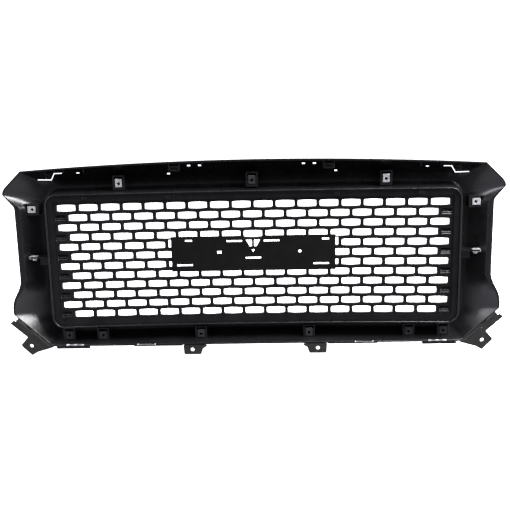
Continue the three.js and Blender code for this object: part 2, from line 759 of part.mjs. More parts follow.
// The corner bracket is drawn along the diagonal edge: a along it from the flare, b out of the shell.
const ALONG = new THREE.Vector2(...DIAGONAL_END).sub(new THREE.Vector2(...FLARE_LOW)).normalize();
const AWAY = new THREE.Vector2(-ALONG.y, ALONG.x);
const CLEAR = 0.8; // from the shell's wall
const CORNER_OUTLINE = [
  [8, 5],
  [6, 15],
  [52, 15.5],
  [56, 15],
  [56, 39],
  [60, 41],
  [90, 43],
  [95, 28],
  [115.6, -3.6],
  [103, 2 * CLEAR],
  [60, 2 * CLEAR],
  [58, 5],
];
const CORNER_BOLT = { a: 75.3, b: 26, radius: 4.2 };
const CORNER_LEG = { low: CLEAR + 0.4, high: CLEAR + 3, front: 0 };
const CORNER_LEG_OUTLINE = [
  [12, CORNER_LEG.high],
  [12, CORNER_LEG.low],
  [102.5, CORNER_LEG.low],
  [111.6, -2],
  [115.6, -4.2],
  [113, -0.6],
  [104, CORNER_LEG.high],
];
const CORNER_WEB = { outline: [[14, 6.5], [14, 1.5], [58, 1.5], [58, 6.5]], thick: 2 };
const CORNER_SCREW = { a: 44, y: -8, reach: 5, holeEnd: 16 };

const cornerXZ = ([a, b]) => [
  FLARE_LOW[0] + a * ALONG.x + b * AWAY.x,
  FLARE_LOW[1] + a * ALONG.y + b * AWAY.y,
];

function cornerAt(a, b, y) {
  const [x, z] = cornerXZ([a, b]);
  return [x, y, z];
}

function cornerPlate(outline, yLow, yHigh) {
  return plateXZ(shapeOf(outline.map(cornerXZ)), yLow, yHigh);
}

function cornerScrewHole() {
  const { a, y, reach, holeEnd } = CORNER_SCREW;
  return rod(cornerAt(a, -reach - GAP, y), cornerAt(a, holeEnd, y), SCREW.clearance);
}

function cornerBracket() {
  const rearFace = BRACKET_REAR;
  const frontFace = BRACKET_REAR + BRACKET_SHEET;
  const { a, b, radius } = CORNER_BOLT;
  const hole = rod(cornerAt(a, b, rearFace - 1), cornerAt(a, b, frontFace + 1), radius, HOLE_SIDES);
  const plate = cornerPlate(CORNER_OUTLINE, rearFace, frontFace);
  const leg = cornerPlate(CORNER_LEG_OUTLINE, frontFace - 1, CORNER_LEG.front);
  const web = cornerPlate(CORNER_WEB.outline, frontFace - 1, frontFace + CORNER_WEB.thick);
  return wasm.Manifold.union([plate, leg, web]).subtract(hole).subtract(cornerScrewHole());
}

function cornerScrew() {
  const { a, y, reach } = CORNER_SCREW;
  const seatAt = CORNER_LEG.high + GAP;
  const cap = rod(cornerAt(a, seatAt, y), cornerAt(a, seatAt + SCREW.headHeight, y), SCREW.head);
  return cap.add(rod(cornerAt(a, seatAt + 1, y), cornerAt(a, -reach, y), SCREW.radius));
}

function screwHoles() {
  return [tabScrewHole(), cornerScrewHole()];
}

// The blocks on the outside of the shell that the screws bite into.
const TAB_BOSS = { half: 6, rear: -22, front: -9, low: TAB_TOP + GAP, high: -184 };
const CORNER_BOSS = { outline: [[38, -12], [38, 0.9], [50, 0.9], [50, -12]], rear: -12, front: -3.5 };

function screwBosses() {
  const { half, rear: rearFace, front, low, high } = TAB_BOSS;
  const tabBoss = block([TAB.x - half, rearFace, low], [TAB.x + half, front, high]);
  return [tabBoss, cornerPlate(CORNER_BOSS.outline, CORNER_BOSS.rear, CORNER_BOSS.front)];
}

// ---- retainers under the top edge and clips in the lower lip ------------------------------------
const RETAINERS = [
  { name: 'inner_retainer', left: 158.4, right: 178.6 },
  { name: 'outer_retainer', left: 443, right: 451.6 },
];
const RETAINER = { rear: -6, front: -1.5, height: 11.5, drop: 10.5 };
const RETAINER_SLOT = { side: 2.5, low: 8, high: 3, floor: 1.5 };

function upperRetainer({ left, right }) {
  const top = crownZ((left + right) / 2) - RETAINER.drop;
  const body = block([left, RETAINER.rear, top - RETAINER.height], [right, RETAINER.front, top]);
  const slot = block(
    [left + RETAINER_SLOT.side, RETAINER.rear - 1, top - RETAINER_SLOT.low],
    [right - RETAINER_SLOT.side, RETAINER.front - RETAINER_SLOT.floor, top - RETAINER_SLOT.high],
  );
  return body.subtract(slot);
}

// A leaf spring that lies in waves on the bar under a lip slot.
const LIP_CLIP = { thick: 0.9, step: 4, wave: 1.1, rear: -25.6, front: -20 };
const LIP_CLIP_WAVES = [0, 0, 1, 1, 0, 0, 1, 1, 0, 0]; // down or up, at each step

function lipClip({ low, high }) {
  const middle = (low + high) / 2;
  const floor = LIP_SLOT.z - LIP_SLOT.height / 2 + GAP;
  const start = middle - ((LIP_CLIP_WAVES.length - 1) / 2) * LIP_CLIP.step;
  const under = LIP_CLIP_WAVES.map((h, i) => [start + i * LIP_CLIP.step, floor + h * LIP_CLIP.wave]);
  const over = under.map(([x, z]) => [x, z + LIP_CLIP.thick]).reverse();
  return plateXZ(shapeOf([...under, ...over]), LIP_CLIP.rear, LIP_CLIP.front);
}

// ---- the assembly -------------------------------------------------------------------------------
function addPair(name, solid, material) {
  addNode(`${name}_right`, solid, material);
  addNode(`${name}_left`, mirrored(solid), material);
}

addNode('surround_shell', surroundShell(), PLASTIC);
addNode('mesh_insert', meshInsert(), PLASTIC);
addNode('emblem_plate', emblemPlate(), SATIN);

const nut = sheetNut();
addNode('top_nut_center', nut, DARK_STEEL, seatMatrix(CENTER_SEAT));
for (const { name, place, steel } of [...NUT_SEATS, SHELF_NUT]) {
  addNode(`${name}_right`, nut, steel, seatMatrix(place));
  addNode(`${name}_left`, nut, steel, seatMatrix(mirroredSeat(place)));
}

addPair('lower_tab', lowerTab(), BRACKET);
addPair('lower_tab_screw', tabScrew(), STEEL);
addPair('corner_bracket', cornerBracket(), BRACKET);
addPair('corner_screw', cornerScrew(), STEEL);
for (const retainer of RETAINERS) {
  addPair(retainer.name, upperRetainer(retainer), SATIN);
}
addPair('outer_lip_clip', lipClip(LIP_SLOTS[0]), STEEL);
addPair('inner_lip_clip', lipClip(LIP_SLOTS[1]), STEEL);

export default grille;
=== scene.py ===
"""Looks of a pickup truck's front grille, shown from its open rear side.

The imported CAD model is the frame. Every visible piece is modelled here again with its rounded edges
and small features, in millimetres, in the drawing's own frame: +X right, +Y to the vehicle's front,
+Z up, with the middle of the mesh at the origin. Each finished piece is then moved into the frame
of the part, whose origin lies on the rear face of the emblem plate, and takes its node's place.
"""

import math
from dataclasses import dataclass
from typing import Callable

import bmesh
import bpy
import numpy as np
from mathutils import Matrix, Vector


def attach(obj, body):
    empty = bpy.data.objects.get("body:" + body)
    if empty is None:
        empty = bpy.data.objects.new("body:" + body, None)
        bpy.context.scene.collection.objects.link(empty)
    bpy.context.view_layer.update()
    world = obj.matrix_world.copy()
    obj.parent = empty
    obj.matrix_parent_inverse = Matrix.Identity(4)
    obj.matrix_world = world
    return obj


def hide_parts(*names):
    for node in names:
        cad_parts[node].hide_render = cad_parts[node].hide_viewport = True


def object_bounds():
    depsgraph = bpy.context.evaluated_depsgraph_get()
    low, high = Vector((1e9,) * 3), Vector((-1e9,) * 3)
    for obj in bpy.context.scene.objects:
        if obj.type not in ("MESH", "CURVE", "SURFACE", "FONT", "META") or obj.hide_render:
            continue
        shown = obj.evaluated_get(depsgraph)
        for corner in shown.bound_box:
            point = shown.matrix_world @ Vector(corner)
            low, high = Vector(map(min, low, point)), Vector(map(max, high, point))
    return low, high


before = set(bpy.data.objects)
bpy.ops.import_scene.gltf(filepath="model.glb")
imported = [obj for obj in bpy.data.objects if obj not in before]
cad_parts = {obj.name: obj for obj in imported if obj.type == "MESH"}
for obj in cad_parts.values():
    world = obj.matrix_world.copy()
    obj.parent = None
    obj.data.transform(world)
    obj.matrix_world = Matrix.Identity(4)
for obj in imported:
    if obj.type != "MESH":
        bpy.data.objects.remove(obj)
CAD_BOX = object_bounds()

# ---- dimensions, mm -----------------------------------------------------------------------------
TO_PART = Matrix.Scale(0.001, 4) @ Matrix.Translation((0, 5.9, -8))
BOW = 7.6e-5  # plan-view curvature of the mesh and the rim
SHEET = 3.0  # wall of the surround
GAP = 0.3  # between neighbouring pieces
DEEP = 60.0  # beyond every piece, where cutting tools end

RIM = {"half_x": 451.0, "half_z": 148.5, "radius": 22.0, "y": -9.0, "lip": 3.0}
LEDGE = {"width": 6.0, "y": 7.6}
TOP_Z = 219.2
TOP_CORNER = (506.0, 203.0)
SIDE_X = 525.5
BOTTOM_Z = -194.0

PITCH_X = 48.2
PITCH_Z = 22.0
ROWS = 12
MESH_DEPTH = 7.0


def bow_at(x):
    return -BOW * x * x


# ---- mesh tools ---------------------------------------------------------------------------------
def new_object(name, vertices, faces):
    mesh = bpy.data.meshes.new(name)
    mesh.from_pydata([tuple(map(float, v)) for v in vertices], [], faces)
    piece = bpy.data.objects.new(name, mesh)
    bpy.context.scene.collection.objects.link(piece)
    face_outward(mesh)
    return piece


def face_outward(mesh):
    shape = bmesh.new()
    shape.from_mesh(mesh)
    bmesh.ops.recalc_face_normals(shape, faces=shape.faces)
    shape.to_mesh(mesh)
    shape.free()


def bake(piece):
    """Applies the modifiers of a piece."""
    graph = bpy.context.evaluated_depsgraph_get()
    mesh = bpy.data.meshes.new_from_object(piece.evaluated_get(graph))
    piece.modifiers.clear()
    piece.data = mesh
    return piece


def joined(pieces):
    """One object that holds several closed meshes, which don't need to be apart."""
    shape = bmesh.new()
    for piece in pieces:
        shape.from_mesh(piece.data)
    first = pieces[0]
    shape.to_mesh(first.data)
    shape.free()
    for piece in pieces[1:]:
        bpy.data.objects.remove(piece)
    return first


def boolean(piece, tool, operation):
    modifier = piece.modifiers.new("solid", "BOOLEAN")
    modifier.object = tool
    modifier.operation = operation
    modifier.solver = "MANIFOLD"
    bake(piece)
    bpy.data.objects.remove(tool)
    return piece


def cut(piece, tool):
    return boolean(piece, tool, "DIFFERENCE")


def add(piece, tool):
    return boolean(piece, tool, "UNION")


def trim(piece, tool):
    return boolean(piece, tool, "INTERSECT")


def bevel(piece, width, segments=2, angle=35):
    """Rounds the edges that are sharper than an angle in degrees."""
    modifier = piece.modifiers.new("edges", "BEVEL")
    modifier.width = width
    modifier.segments = segments
    modifier.limit_method = "ANGLE"
    modifier.angle_limit = math.radians(angle)
    modifier.use_clamp_overlap = True
    return bake(piece)


def copy_of(piece, name):
    copy = piece.copy()
    copy.data = piece.data.copy()
    copy.name = name
    bpy.context.scene.collection.objects.link(copy)
    return copy


def mirrored(piece, name):
    """A copy on the other side of the plane of symmetry."""
    copy = copy_of(piece, name)
    copy.data.transform(Matrix.Scale(-1, 4, Vector((1, 0, 0))))
    face_outward(copy.data)
    return copy


def both_sides(piece):
    return [piece, mirrored(piece, piece.name + "_mirror")]


def placed(piece, matrix):
    piece.data.transform(matrix)
    return piece


def loft(name, rings, closed=False):
    """Skins rings of equal length. An open loft gets a flat face at each end."""
    count = len(rings[0])
    faces = []
    for i in range(len(rings) if closed else len(rings) - 1):
        after = (i + 1) % len(rings)
        for j in range(count):
            k = (j + 1) % count
            faces.append((i * count + j, after * count + j, after * count + k, i * count + k))
    if not closed:
        faces.append(tuple(range(count)))
        faces.append(tuple(range((len(rings) - 1) * count, len(rings) * count)))
    return new_object(name, [point for ring in rings for point in ring], faces)


def rounded(points, radius, steps=4):
    """A closed outline with its corners rounded; radius is one number or one for each corner."""
    radii = radius if isinstance(radius, (list, tuple)) else [radius] * len(points)
    outline = []
    for i, (corner, r) in enumerate(zip(points, radii)):
        corner = np.array(corner, float)
        if r == 0:
            outline.append(corner)
            continue
        before = np.array(points[i - 1], float) - corner
        after = np.array(points[(i + 1) % len(points)], float) - corner
        lengths = np.linalg.norm(before), np.linalg.norm(after)
        cosine = np.clip(before @ after / (lengths[0] * lengths[1]), -0.999, 0.999)
        reach = min(r / math.tan(math.acos(cosine) / 2), 0.48 * lengths[0], 0.48 * lengths[1])
        start = corner + before / lengths[0] * reach
        end = corner + after / lengths[1] * reach
        for step in range(steps + 1):
            t = step / steps
            outline.append((1 - t) ** 2 * start + 2 * t * (1 - t) * corner + t * t * end)
    return outline


def rectangle(x0, x1, z0, z1):
    return [(x0, z0), (x1, z0), (x1, z1), (x0, z1)]


def prism(name, outline, y0, y1):
    """A plate whose outline lies in the XZ plane, between two depths."""
    return loft(name, [[(x, y, z) for x, z in outline] for y in (y0, y1)])


def block(name, low, high):
    return prism(name, rectangle(low[0], high[0], low[2], high[2]), low[1], high[1])


def circle(radius, sides=32, center=(0, 0)):
    turns = [2 * math.pi * i / sides for i in range(sides)]
    return [(center[0] + radius * math.cos(t), center[1] + radius * math.sin(t)) for t in turns]


def lathe(name, profile, sides=32):
    """A solid of revolution about Z. The profile lists (radius, height) from one end to the other."""
    rings = [[(x, y, h) for x, y in circle(r, sides)] for r, h in profile]
    return loft(name, rings)


def matrix_of(x_axis, y_axis, z_axis, place):
    columns = [Vector(x_axis), Vector(y_axis), Vector(z_axis), Vector(place)]
    return Matrix([[c[i] for c in columns] for i in range(3)] + [[0, 0, 0, 1]])


def finish_piece(piece, node, slot, look=None):
    """Moves a piece into the part's frame, shades it, and puts it in its CAD node's place. The
    material is the slot's own one, or another look for the same slot."""
    piece.name = node + "_look"
    piece.data.name = piece.name
    piece.data.transform(TO_PART)
    shade(piece)
    piece.data.materials.clear()
    piece.data.materials.append(MATERIALS[look or slot])
    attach(piece, "root")
    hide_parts(node)
    return piece


def shade(piece, angle=32):
    """Smooth faces that stay flat where they are large, with hard edges where two faces meet at
    more than an angle in degrees."""
    mesh = piece.data
    shape = bmesh.new()
    shape.from_mesh(mesh)
    for face in shape.faces:
        face.smooth = True
    for edge in shape.edges:
        edge.smooth = edge.is_manifold and edge.calc_face_angle(0) < math.radians(angle)
    shape.to_mesh(mesh)
    shape.free()
    modifier = piece.modifiers.new("normals", "WEIGHTED_NORMAL")
    modifier.keep_sharp = True
    bake(piece)


# ---- materials ----------------------------------------------------------------------------------
class Nodes:
    """Builds the nodes of one material, in object coordinates."""

    def __init__(self, name):
        self.material = bpy.data.materials.new(name)
        self.material.use_nodes = True
        self.tree = self.material.node_tree
        self.tree.nodes.clear()
        self.shader = self.new("ShaderNodeBsdfPrincipled")
        output = self.new("ShaderNodeOutputMaterial")
        self.link(self.shader.outputs["BSDF"], output.inputs["Surface"])
        self.place = self.new("ShaderNodeTexCoord").outputs["Object"]

    def new(self, kind, **settings):
        node = self.tree.nodes.new(kind)
        for key, value in settings.items():
            setattr(node, key, value)
        return node

    def link(self, source, target):
        self.tree.links.new(source, target)

    def stretched(self, scale):
        mapping = self.new("ShaderNodeMapping")
        mapping.inputs["Scale"].default_value = scale
        self.link(self.place, mapping.inputs["Vector"])
        return mapping.outputs["Vector"]

    def noise(self, scale, detail=3.0, roughness=0.5, vector=None):
        node = self.new("ShaderNodeTexNoise")
        node.inputs["Scale"].default_value = scale
        node.inputs["Detail"].default_value = detail
        node.inputs["Roughness"].default_value = roughness
        self.link(vector or self.place, node.inputs["Vector"])
        return node.outputs["Fac"]

    def ramp(self, source, *stops):
        """Colours along a value. Each stop is (position, colour)."""
        node = self.new("ShaderNodeValToRGB")
        elements = node.color_ramp.elements
        for element, (position, color) in zip(elements, stops[:2]):
            element.position = position
            element.color = color
        for position, color in stops[2:]:
            elements.new(position).color = color
        self.link(source, node.inputs["Fac"])
        return node.outputs["Color"]

    def spread(self, source, low, high):
        """Maps a value's middle range to low..high."""
        node = self.new("ShaderNodeMapRange")
        node.inputs["From Min"].default_value = 0.3
        node.inputs["From Max"].default_value = 0.7
        node.inputs["To Min"].default_value = low
        node.inputs["To Max"].default_value = high
        self.link(source, node.inputs["Value"])
        return node.outputs["Result"]

    def bump(self, height, strength, distance, before=None):
        node = self.new("ShaderNodeBump")
        node.inputs["Strength"].default_value = strength
        node.inputs["Distance"].default_value = distance
        self.link(height, node.inputs["Height"])
        if before is not None:
            self.link(before, node.inputs["Normal"])
        return node.outputs["Normal"]


def gray(value, blue=1.0):
    return (value, value, value * blue, 1.0)


def moulded_plastic(name, tone, roughness, grain, blue=1.12, specular=0.5):
    """Black plastic: flow marks in its colour and gloss, and a fine grain from the mould."""
    n = Nodes(name)
    flow = n.noise(9.0, 4.0, 0.6)
    color = n.ramp(flow, (0.3, gray(tone * 0.75, blue)), (0.7, gray(tone * 1.3, blue)))
    n.link(color, n.shader.inputs["Base Color"])
    gloss = n.noise(38.0, 5.0, 0.65)
    n.link(n.spread(gloss, roughness - 0.05, roughness + 0.06), n.shader.inputs["Roughness"])
    waves = n.bump(n.noise(24.0, 2.0), 0.12, 0.0012)
    n.link(n.bump(n.noise(2600.0, 2.0), grain, 0.00006, waves), n.shader.inputs["Normal"])
    n.shader.inputs["Specular IOR Level"].default_value = specular
    return n.material


def filled_plastic(name):
    """Glass-filled nylon: streaks of fibre in a dull dark grey."""
    n = Nodes(name)
    streaks = n.noise(900.0, 3.0, 0.6, n.stretched((1.0, 0.25, 0.25)))
    color = n.ramp(streaks, (0.35, gray(0.004, 0.85)), (0.7, gray(0.013, 0.85)))
    n.link(color, n.shader.inputs["Base Color"])
    n.link(n.spread(n.noise(60.0, 4.0), 0.42, 0.6), n.shader.inputs["Roughness"])
    n.link(n.bump(streaks, 0.25, 0.0001), n.shader.inputs["Normal"])
    return n.material


def sheet_steel(name, tone):
    """Plated sheet: a brushed grain, cloudy patches and darker spots; with a low tone it is a darker
    copy that paints shade.
    """
    n = Nodes(name)
    brushed = n.noise(1500.0, 3.0, 0.6, n.stretched((0.06, 1.0, 1.0)))
    cloudy = n.noise(260.0, 4.0, 0.6)
    color = n.ramp(
        cloudy,
        (0.32, (0.60 * tone, 0.60 * tone, 0.61 * tone, 1)),
        (0.62, (0.98 * tone, 0.99 * tone, 1.01 * tone, 1)),
        (0.8, (1.10 * tone, 1.08 * tone, 1.04 * tone, 1)),
    )
    n.link(color, n.shader.inputs["Base Color"])
    n.link(n.spread(brushed, 0.24, 0.42), n.shader.inputs["Roughness"])
    n.link(n.bump(brushed, 0.2, 0.00005), n.shader.inputs["Normal"])
    n.shader.inputs["Metallic"].default_value = 0.6
    return n.material


MATERIALS = {
    "moulded_plastic": moulded_plastic("moulded_plastic", 0.0035, 0.3, 0.25),
    "satin_plastic": moulded_plastic("satin_plastic", 0.003, 0.5, 0.5, 1.0, specular=0.12),
    "bracket": filled_plastic("filled_plastic"),
    "steel_nut": sheet_steel("zinc_steel", 0.68),
    # painted shade: a darker copy of the zinc-plated steel, for the nuts that lie in shade
    "painted_shade_steel": sheet_steel("painted_shade_steel", 0.06),
}

# ---- surround: rim, outline and section ---------------------------------------------------------
RIM_TOP = RIM["half_x"] - RIM["radius"]
RIM_SIDE = 2 * (RIM["half_z"] - RIM["radius"])
RIM_ARC = math.pi / 2 * RIM["radius"]
RIM_LENGTH = 2 * RIM_TOP + RIM_SIDE + 2 * RIM_ARC


def rim_point(s):
    """The rim at an arc length from its top middle, over the right side, to its bottom middle."""
    if s > RIM_LENGTH / 2:
        x, z = rim_point(RIM_LENGTH - s)
        return x, -z
    if s <= RIM_TOP:
        return s, RIM["half_z"]
    if s < RIM_TOP + RIM_ARC:
        angle = (s - RIM_TOP) / RIM["radius"]
        x = RIM_TOP + RIM["radius"] * math.sin(angle)
        return x, RIM["half_z"] - RIM["radius"] * (1 - math.cos(angle))
    return RIM["half_x"], RIM["half_z"] - RIM["radius"] - (s - RIM_TOP - RIM_ARC)


def line(a, b):
    a, b = np.array(a, float), np.array(b, float)
    return lambda t: a + (b - a) * t


def arc(a, middle, b):
    a, middle, b = (np.array(p, float) for p in (a, middle, b))
    return lambda t: (1 - t) ** 2 * a + 2 * t * (1 - t) * middle + t * t * b


def crown_z(x):
    return TOP_Z - (TOP_Z - TOP_CORNER[1]) * x * x / TOP_CORNER[0] ** 2


def crown(start, end):
    return lambda t: np.array((start + (end - start) * t, crown_z(start + (end - start) * t)))


@dataclass
class Stretch:
    """A stretch of the right half of the outline, with the rim that it faces. The pairs are the
    values at its two ends of the flange width, the rear edge's depth, the hollow's depth and the
    bend of the outer wall, the power of its rise."""

    curve: Callable
    rim: tuple
    sections: int
    flange: tuple
    edge: tuple
    floor: tuple
    bend: tuple = (1.7, 1.7)


@dataclass
class Station:
    rim: tuple
    outer: tuple
    flange: float
    edge: float
    floor: float
    bend: float


EAR_TOP = (539, 171)
EAR_TIP = (549, 151)
NOTCH = (529, 127)
SIDE_TOP = (SIDE_X, 116)
SIDE_LOW = (SIDE_X, -44)
FLARE_TOP = (541, -82)
FLARE_LOW = (546.5, -122)
DIAGONAL_END = (470, -189)
LIP_START = (446, BOTTOM_Z)
RIM_LOW = RIM_LENGTH - RIM_TOP
EAR = arc(EAR_TOP, (551, 159), EAR_TIP)
UPPER_FLARE = arc(SIDE_LOW, (526, -56), FLARE_TOP)
LOWER_FLARE = arc(FLARE_TOP, (550, -101), FLARE_LOW)
LOW_CORNER = arc(DIAGONAL_END, (464, BOTTOM_Z), LIP_START)
LIP_LINE = line(LIP_START, (0, BOTTOM_Z + 1))

OUTLINE = (
    Stretch(crown(0, 470), (0, RIM_TOP), 44, (4, 4), (-5, -11), (47, 45)),
    Stretch(crown(470, TOP_CORNER[0]), (RIM_TOP, 446), 8, (4, 4), (-11, -12), (45, 44)),
    Stretch(line(TOP_CORNER, EAR_TOP), (446, 456), 8, (4, 4), (-12, -12), (44, 42), (1.7, 1.3)),
    Stretch(EAR, (456, 464), 8, (4, 4), (-12, -11), (42, 42), (1.3, 1.15)),
    Stretch(line(EAR_TIP, NOTCH), (464, 474), 8, (4, 13), (-11, -10), (42, 42), (1.15, 1.7)),
    Stretch(arc(NOTCH, (SIDE_X, 123), SIDE_TOP), (474, 484), 6, (13, 13), (-10, -10), (42, 42)),
    Stretch(line(SIDE_TOP, SIDE_LOW), (484, 642), 20, (13, 13), (-10, -10), (42, 42)),
    Stretch(UPPER_FLARE, (642, 680), 10, (13, 6), (-10, -10), (42, 41), (1.7, 1.4)),
    Stretch(LOWER_FLARE, (680, 714), 12, (6, 4), (-10, -12), (41, 40), (1.4, 1.15)),
    Stretch(line(FLARE_LOW, DIAGONAL_END), (714, 740), 14, (4, 4), (-12, -22), (40, 38), (1.15, 1.5)),
    Stretch(LOW_CORNER, (740, RIM_LOW), 8, (4, 4), (-22, -26), (38, 36), (1.5, 3)),
    Stretch(LIP_LINE, (RIM_LOW, RIM_LENGTH), 44, (4, 4), (-26, -26), (36, 38), (3, 3)),
)


def mix(pair, t):
    return pair[0] + (pair[1] - pair[0]) * t


def station_at(stretch, t):
    return Station(
        rim_point(mix(stretch.rim, t)),
        tuple(stretch.curve(t)),
        mix(stretch.flange, t),
        mix(stretch.edge, t),
        mix(stretch.floor, t),
        mix(stretch.bend, t),
    )


def stations_of_right_half():
    stations = []
    for stretch in OUTLINE:
        stations += [station_at(stretch, i / stretch.sections) for i in range(stretch.sections)]
    return stations + [station_at(OUTLINE[-1], 1)]


FLOOR_START = RIM["lip"] + 11
OUTER_WALL = {"share": 0.9, "steps": np.linspace(0.08, 0.95, 11)}


def hollow_profile(station):
    """The rear side of the wall: (distance from the rim, depth) from the lip's crest down into the
    hollow and up the outer wall to the rear edge."""
    width = math.dist(station.outer, station.rim)
    bow = bow_at(station.rim[0])
    rim_y = RIM["y"] + bow
    floor_y = station.floor + bow
    wall_top = width - station.flange
    run = OUTER_WALL["share"] * (wall_top - FLOOR_START)
    foot = wall_top - run
    lip = RIM["lip"]
    points = [
        (lip, rim_y),
        (lip + 1.5, rim_y + 16),
        (lip + 3.5, floor_y - 12),
        (lip + 6, floor_y - 4),
        (FLOOR_START, floor_y),
        (foot, floor_y),
    ]
    for part in OUTER_WALL["steps"]:
        rise = part**station.bend
        points.append((foot + part * run, floor_y - rise * (floor_y - station.edge)))
    points.append((wall_top, station.edge))
    return points, width, rim_y, floor_y


def offset_line(points, distance):
    """The same line moved square to itself, out of the hollow."""
    moved = []
    for i, (x, y) in enumerate(points):
        x0, y0 = points[max(i - 1, 0)]
        x1, y1 = points[min(i + 1, len(points) - 1)]
        length = math.dist((x0, y0), (x1, y1))
        moved.append((x - (y1 - y0) / length * distance, y + (x1 - x0) / length * distance))
    return moved


def wall_section(station):
    """The whole wall, with its edges rounded."""
    points, width, rim_y, floor_y = hollow_profile(station)
    ledge_y = LEDGE["y"] + bow_at(station.rim[0])
    outer_wall = offset_line(points, SHEET)[5:-1][::-1]
    flange_start = width - station.flange
    corners = [((0, rim_y), 1.1), (points[0], 1.3)]
    corners += [(p, 0) for p in points[1:3]]
    corners += [(p, 3.0) for p in points[3:6]]
    corners += [(p, 0) for p in points[6:-1]]
    corners += [
        (points[-1], 1.0),
        ((width, station.edge), 0.9),
        ((width, station.edge + SHEET), 0.9),
        ((flange_start + SHEET + 0.4, station.edge + SHEET + 0.6), 0),
    ]
    corners += [(p, 0) for p in outer_wall]
    corners += [
        ((12, floor_y + SHEET), 2.5),
        ((6, floor_y + 1), 2.5),
        ((RIM["lip"] + 0.4, floor_y - 12), 0),
        ((-1, ledge_y + SHEET + 8), 1.0),
        ((-LEDGE["width"], ledge_y + SHEET), 0.8),
        ((-LEDGE["width"], ledge_y), 0.5),
        ((0, ledge_y), 0),
    ]
    return rounded([p for p, _ in corners], [r for _, r in corners], steps=3)


def room_section(station):
    """The room inside the hollow, down to the middle of the wall and open far to the rear."""
    middle = offset_line(hollow_profile(station)[0], SHEET / 2)
    return [(middle[0][0], -DEEP), *middle, (middle[-1][0], -DEEP)]


def sweep(name, section):
    right = stations_of_right_half()
    rings = []
    for side, stations in ((1, right), (-1, right[-2:0:-1])):
        for station in stations:
            rim, outer = np.array(station.rim), np.array(station.outer)
            across = (outer - rim) / np.linalg.norm(outer - rim)
            ring = [(rim + across * w, y) for w, y in section(station)]
            rings.append([(side * p[0], y, p[1]) for p, y in ring])
    return loft(name, rings, closed=True)


# ---- nuts, and the houses that carry them -------------------------------------------------------
NUT = {"width": 14.5, "length": 17.0, "sheet": 1.2, "hole": 3.0, "barrel": 4.75, "reach": 5.0}
HOUSE = {"width": 26.0, "below": 15.0, "above": 18.0, "nut_edge": 9.0, "window_top": 15.0}
PANEL_HOLE = 4.0
UP = Vector((0, 0, 1))
REAR = Vector((0, -1, 0))
OUTBOARD = Vector((1, 0, 0))
SHELF = {"left": 460.0, "right": 499.5, "z": 11.0, "rear": -11.0}
SKIRT = {"right": 479.0, "low": -9.0, "y": -2.0}

# name: (place, direction of the edge that the nut wraps, direction that it faces)
HOUSE_SEATS = {
    "top_nut": ((294.6, 9.5, 169.7), UP, REAR),
    "side_nut": ((489, 1.5, 116.8), OUTBOARD, REAR),
    "lower_nut_outer": ((424.7, -3.5, -174.6), UP, REAR),
    "lower_nut_middle": ((347.2, -3.5, -175.6), UP, REAR),
    "lower_nut_inner": ((122.8, -3.5, -174.7), UP, REAR),
}
CENTER_SEAT = ((0, 9.5, 172), UP, REAR)
PAINTED_SHADE_NUTS = ("top_nut_center", "lower_nut")  # painted shade: these nuts get a darker copy of the zinc-plated steel, the others the plain zinc-plated one
SHELF_CLIP = (SHELF["right"] - HOUSE["nut_edge"], SHELF["rear"] + NUT["width"] / 2 + GAP, SHELF["z"])
SHELF_SEAT = (SHELF_CLIP, OUTBOARD, UP)


def seat_matrix(seat):
    """Local x across the nut, y towards the wrapped edge, z out of the face that shows."""
    place, towards, facing = seat
    return matrix_of(towards.cross(facing), towards, facing, place)


def mirrored_seat(seat):
    def flip(v):
        return Vector((-v[0], v[1], v[2]))

    return tuple(flip(v) for v in seat)


def level_prism(name, outline, z0, z1):
    """A plate whose outline lies in the XY plane."""
    return loft(name, [[(x, y, z) for x, y in outline] for z in (z0, z1)])


def nut_house(seat):
    """A hollow house that rises from the floor of the surround, with a window above the nut."""
    half = HOUSE["width"] / 2
    inner = half - SHEET
    low, top = -HOUSE["below"], HOUSE["above"]
    outside = level_prism("house", rounded(rectangle(-half, half, low, top), 1.5), -DEEP, 0)
    bevel(outside, 0.6)
    cavity = rounded(rectangle(-inner, inner, low + SHEET, HOUSE["window_top"]), 1.0)
    cut(outside, level_prism("cavity", cavity, -DEEP - 1, -SHEET))
    window = rounded(rectangle(-inner, inner, HOUSE["nut_edge"], HOUSE["window_top"]), 0.8)
    cut(outside, level_prism("window", window, -SHEET - 1, 1))
    cut(outside, level_prism("hole", circle(PANEL_HOLE), -SHEET - 1, 1))
    return placed(outside, seat_matrix(seat))


def side_tab():
    """A level shelf with a skirt under it, on which a nut is clipped."""
    s = SHELF
    shelf = prism(
        "shelf",
        rounded(rectangle(s["left"], s["right"], s["z"] - SHEET, s["z"]), 0.4, 2),
        s["rear"],
        DEEP,
    )
    skirt = block(
        "skirt",
        (s["left"] + 0.01, SKIRT["y"], SKIRT["low"]),
        (SKIRT["right"], SKIRT["y"] + SHEET, s["z"] - 0.5),
    )
    hole = circle(PANEL_HOLE, center=SHELF_CLIP[:2])
    cut(shelf, level_prism("hole", hole, s["z"] - SHEET - 1, s["z"] + 1))
    return add(shelf, skirt)


RIB = {"thick": 2.2, "low": 197.0, "rear": -4.5}
RIB_PLACES = (157, 180, 367, 411, 431, 453)
TOP_SLOTS = (
    ((441.5, 183), (470.5, 183.4), 1.8),
    ((433.6, 196), (441.5, 183), 1.8),
    ((417.5, 196.4), (433.6, 196), 1.8),
    ((379, 196.6), (383.5, 196.6), 2.0),
    ((180.5, 192.4), (184.5, 192.4), 3.0),
    ((134.5, 208), (139.5, 208), 3.0),
    ((111, 208), (115.5, 208), 3.0),
)
SLOT_FALL = 0.15  # per mm of depth
SLOT_SPREAD = 1 / 1700  # per mm of depth, of the distance from the middle
SLOT_REAR = -8.0
LIP_SLOTS = ((388, 429), (224, 267))
LIP_SLOT = {"z": -191.2, "height": 3.0, "rear": -40.0, "front": -12.0}
LIP_BARS = ((374, 450, -199.0), (164, 274, -195.4))
LIP_BAR = {"rear": -26.0, "front": -23.0}


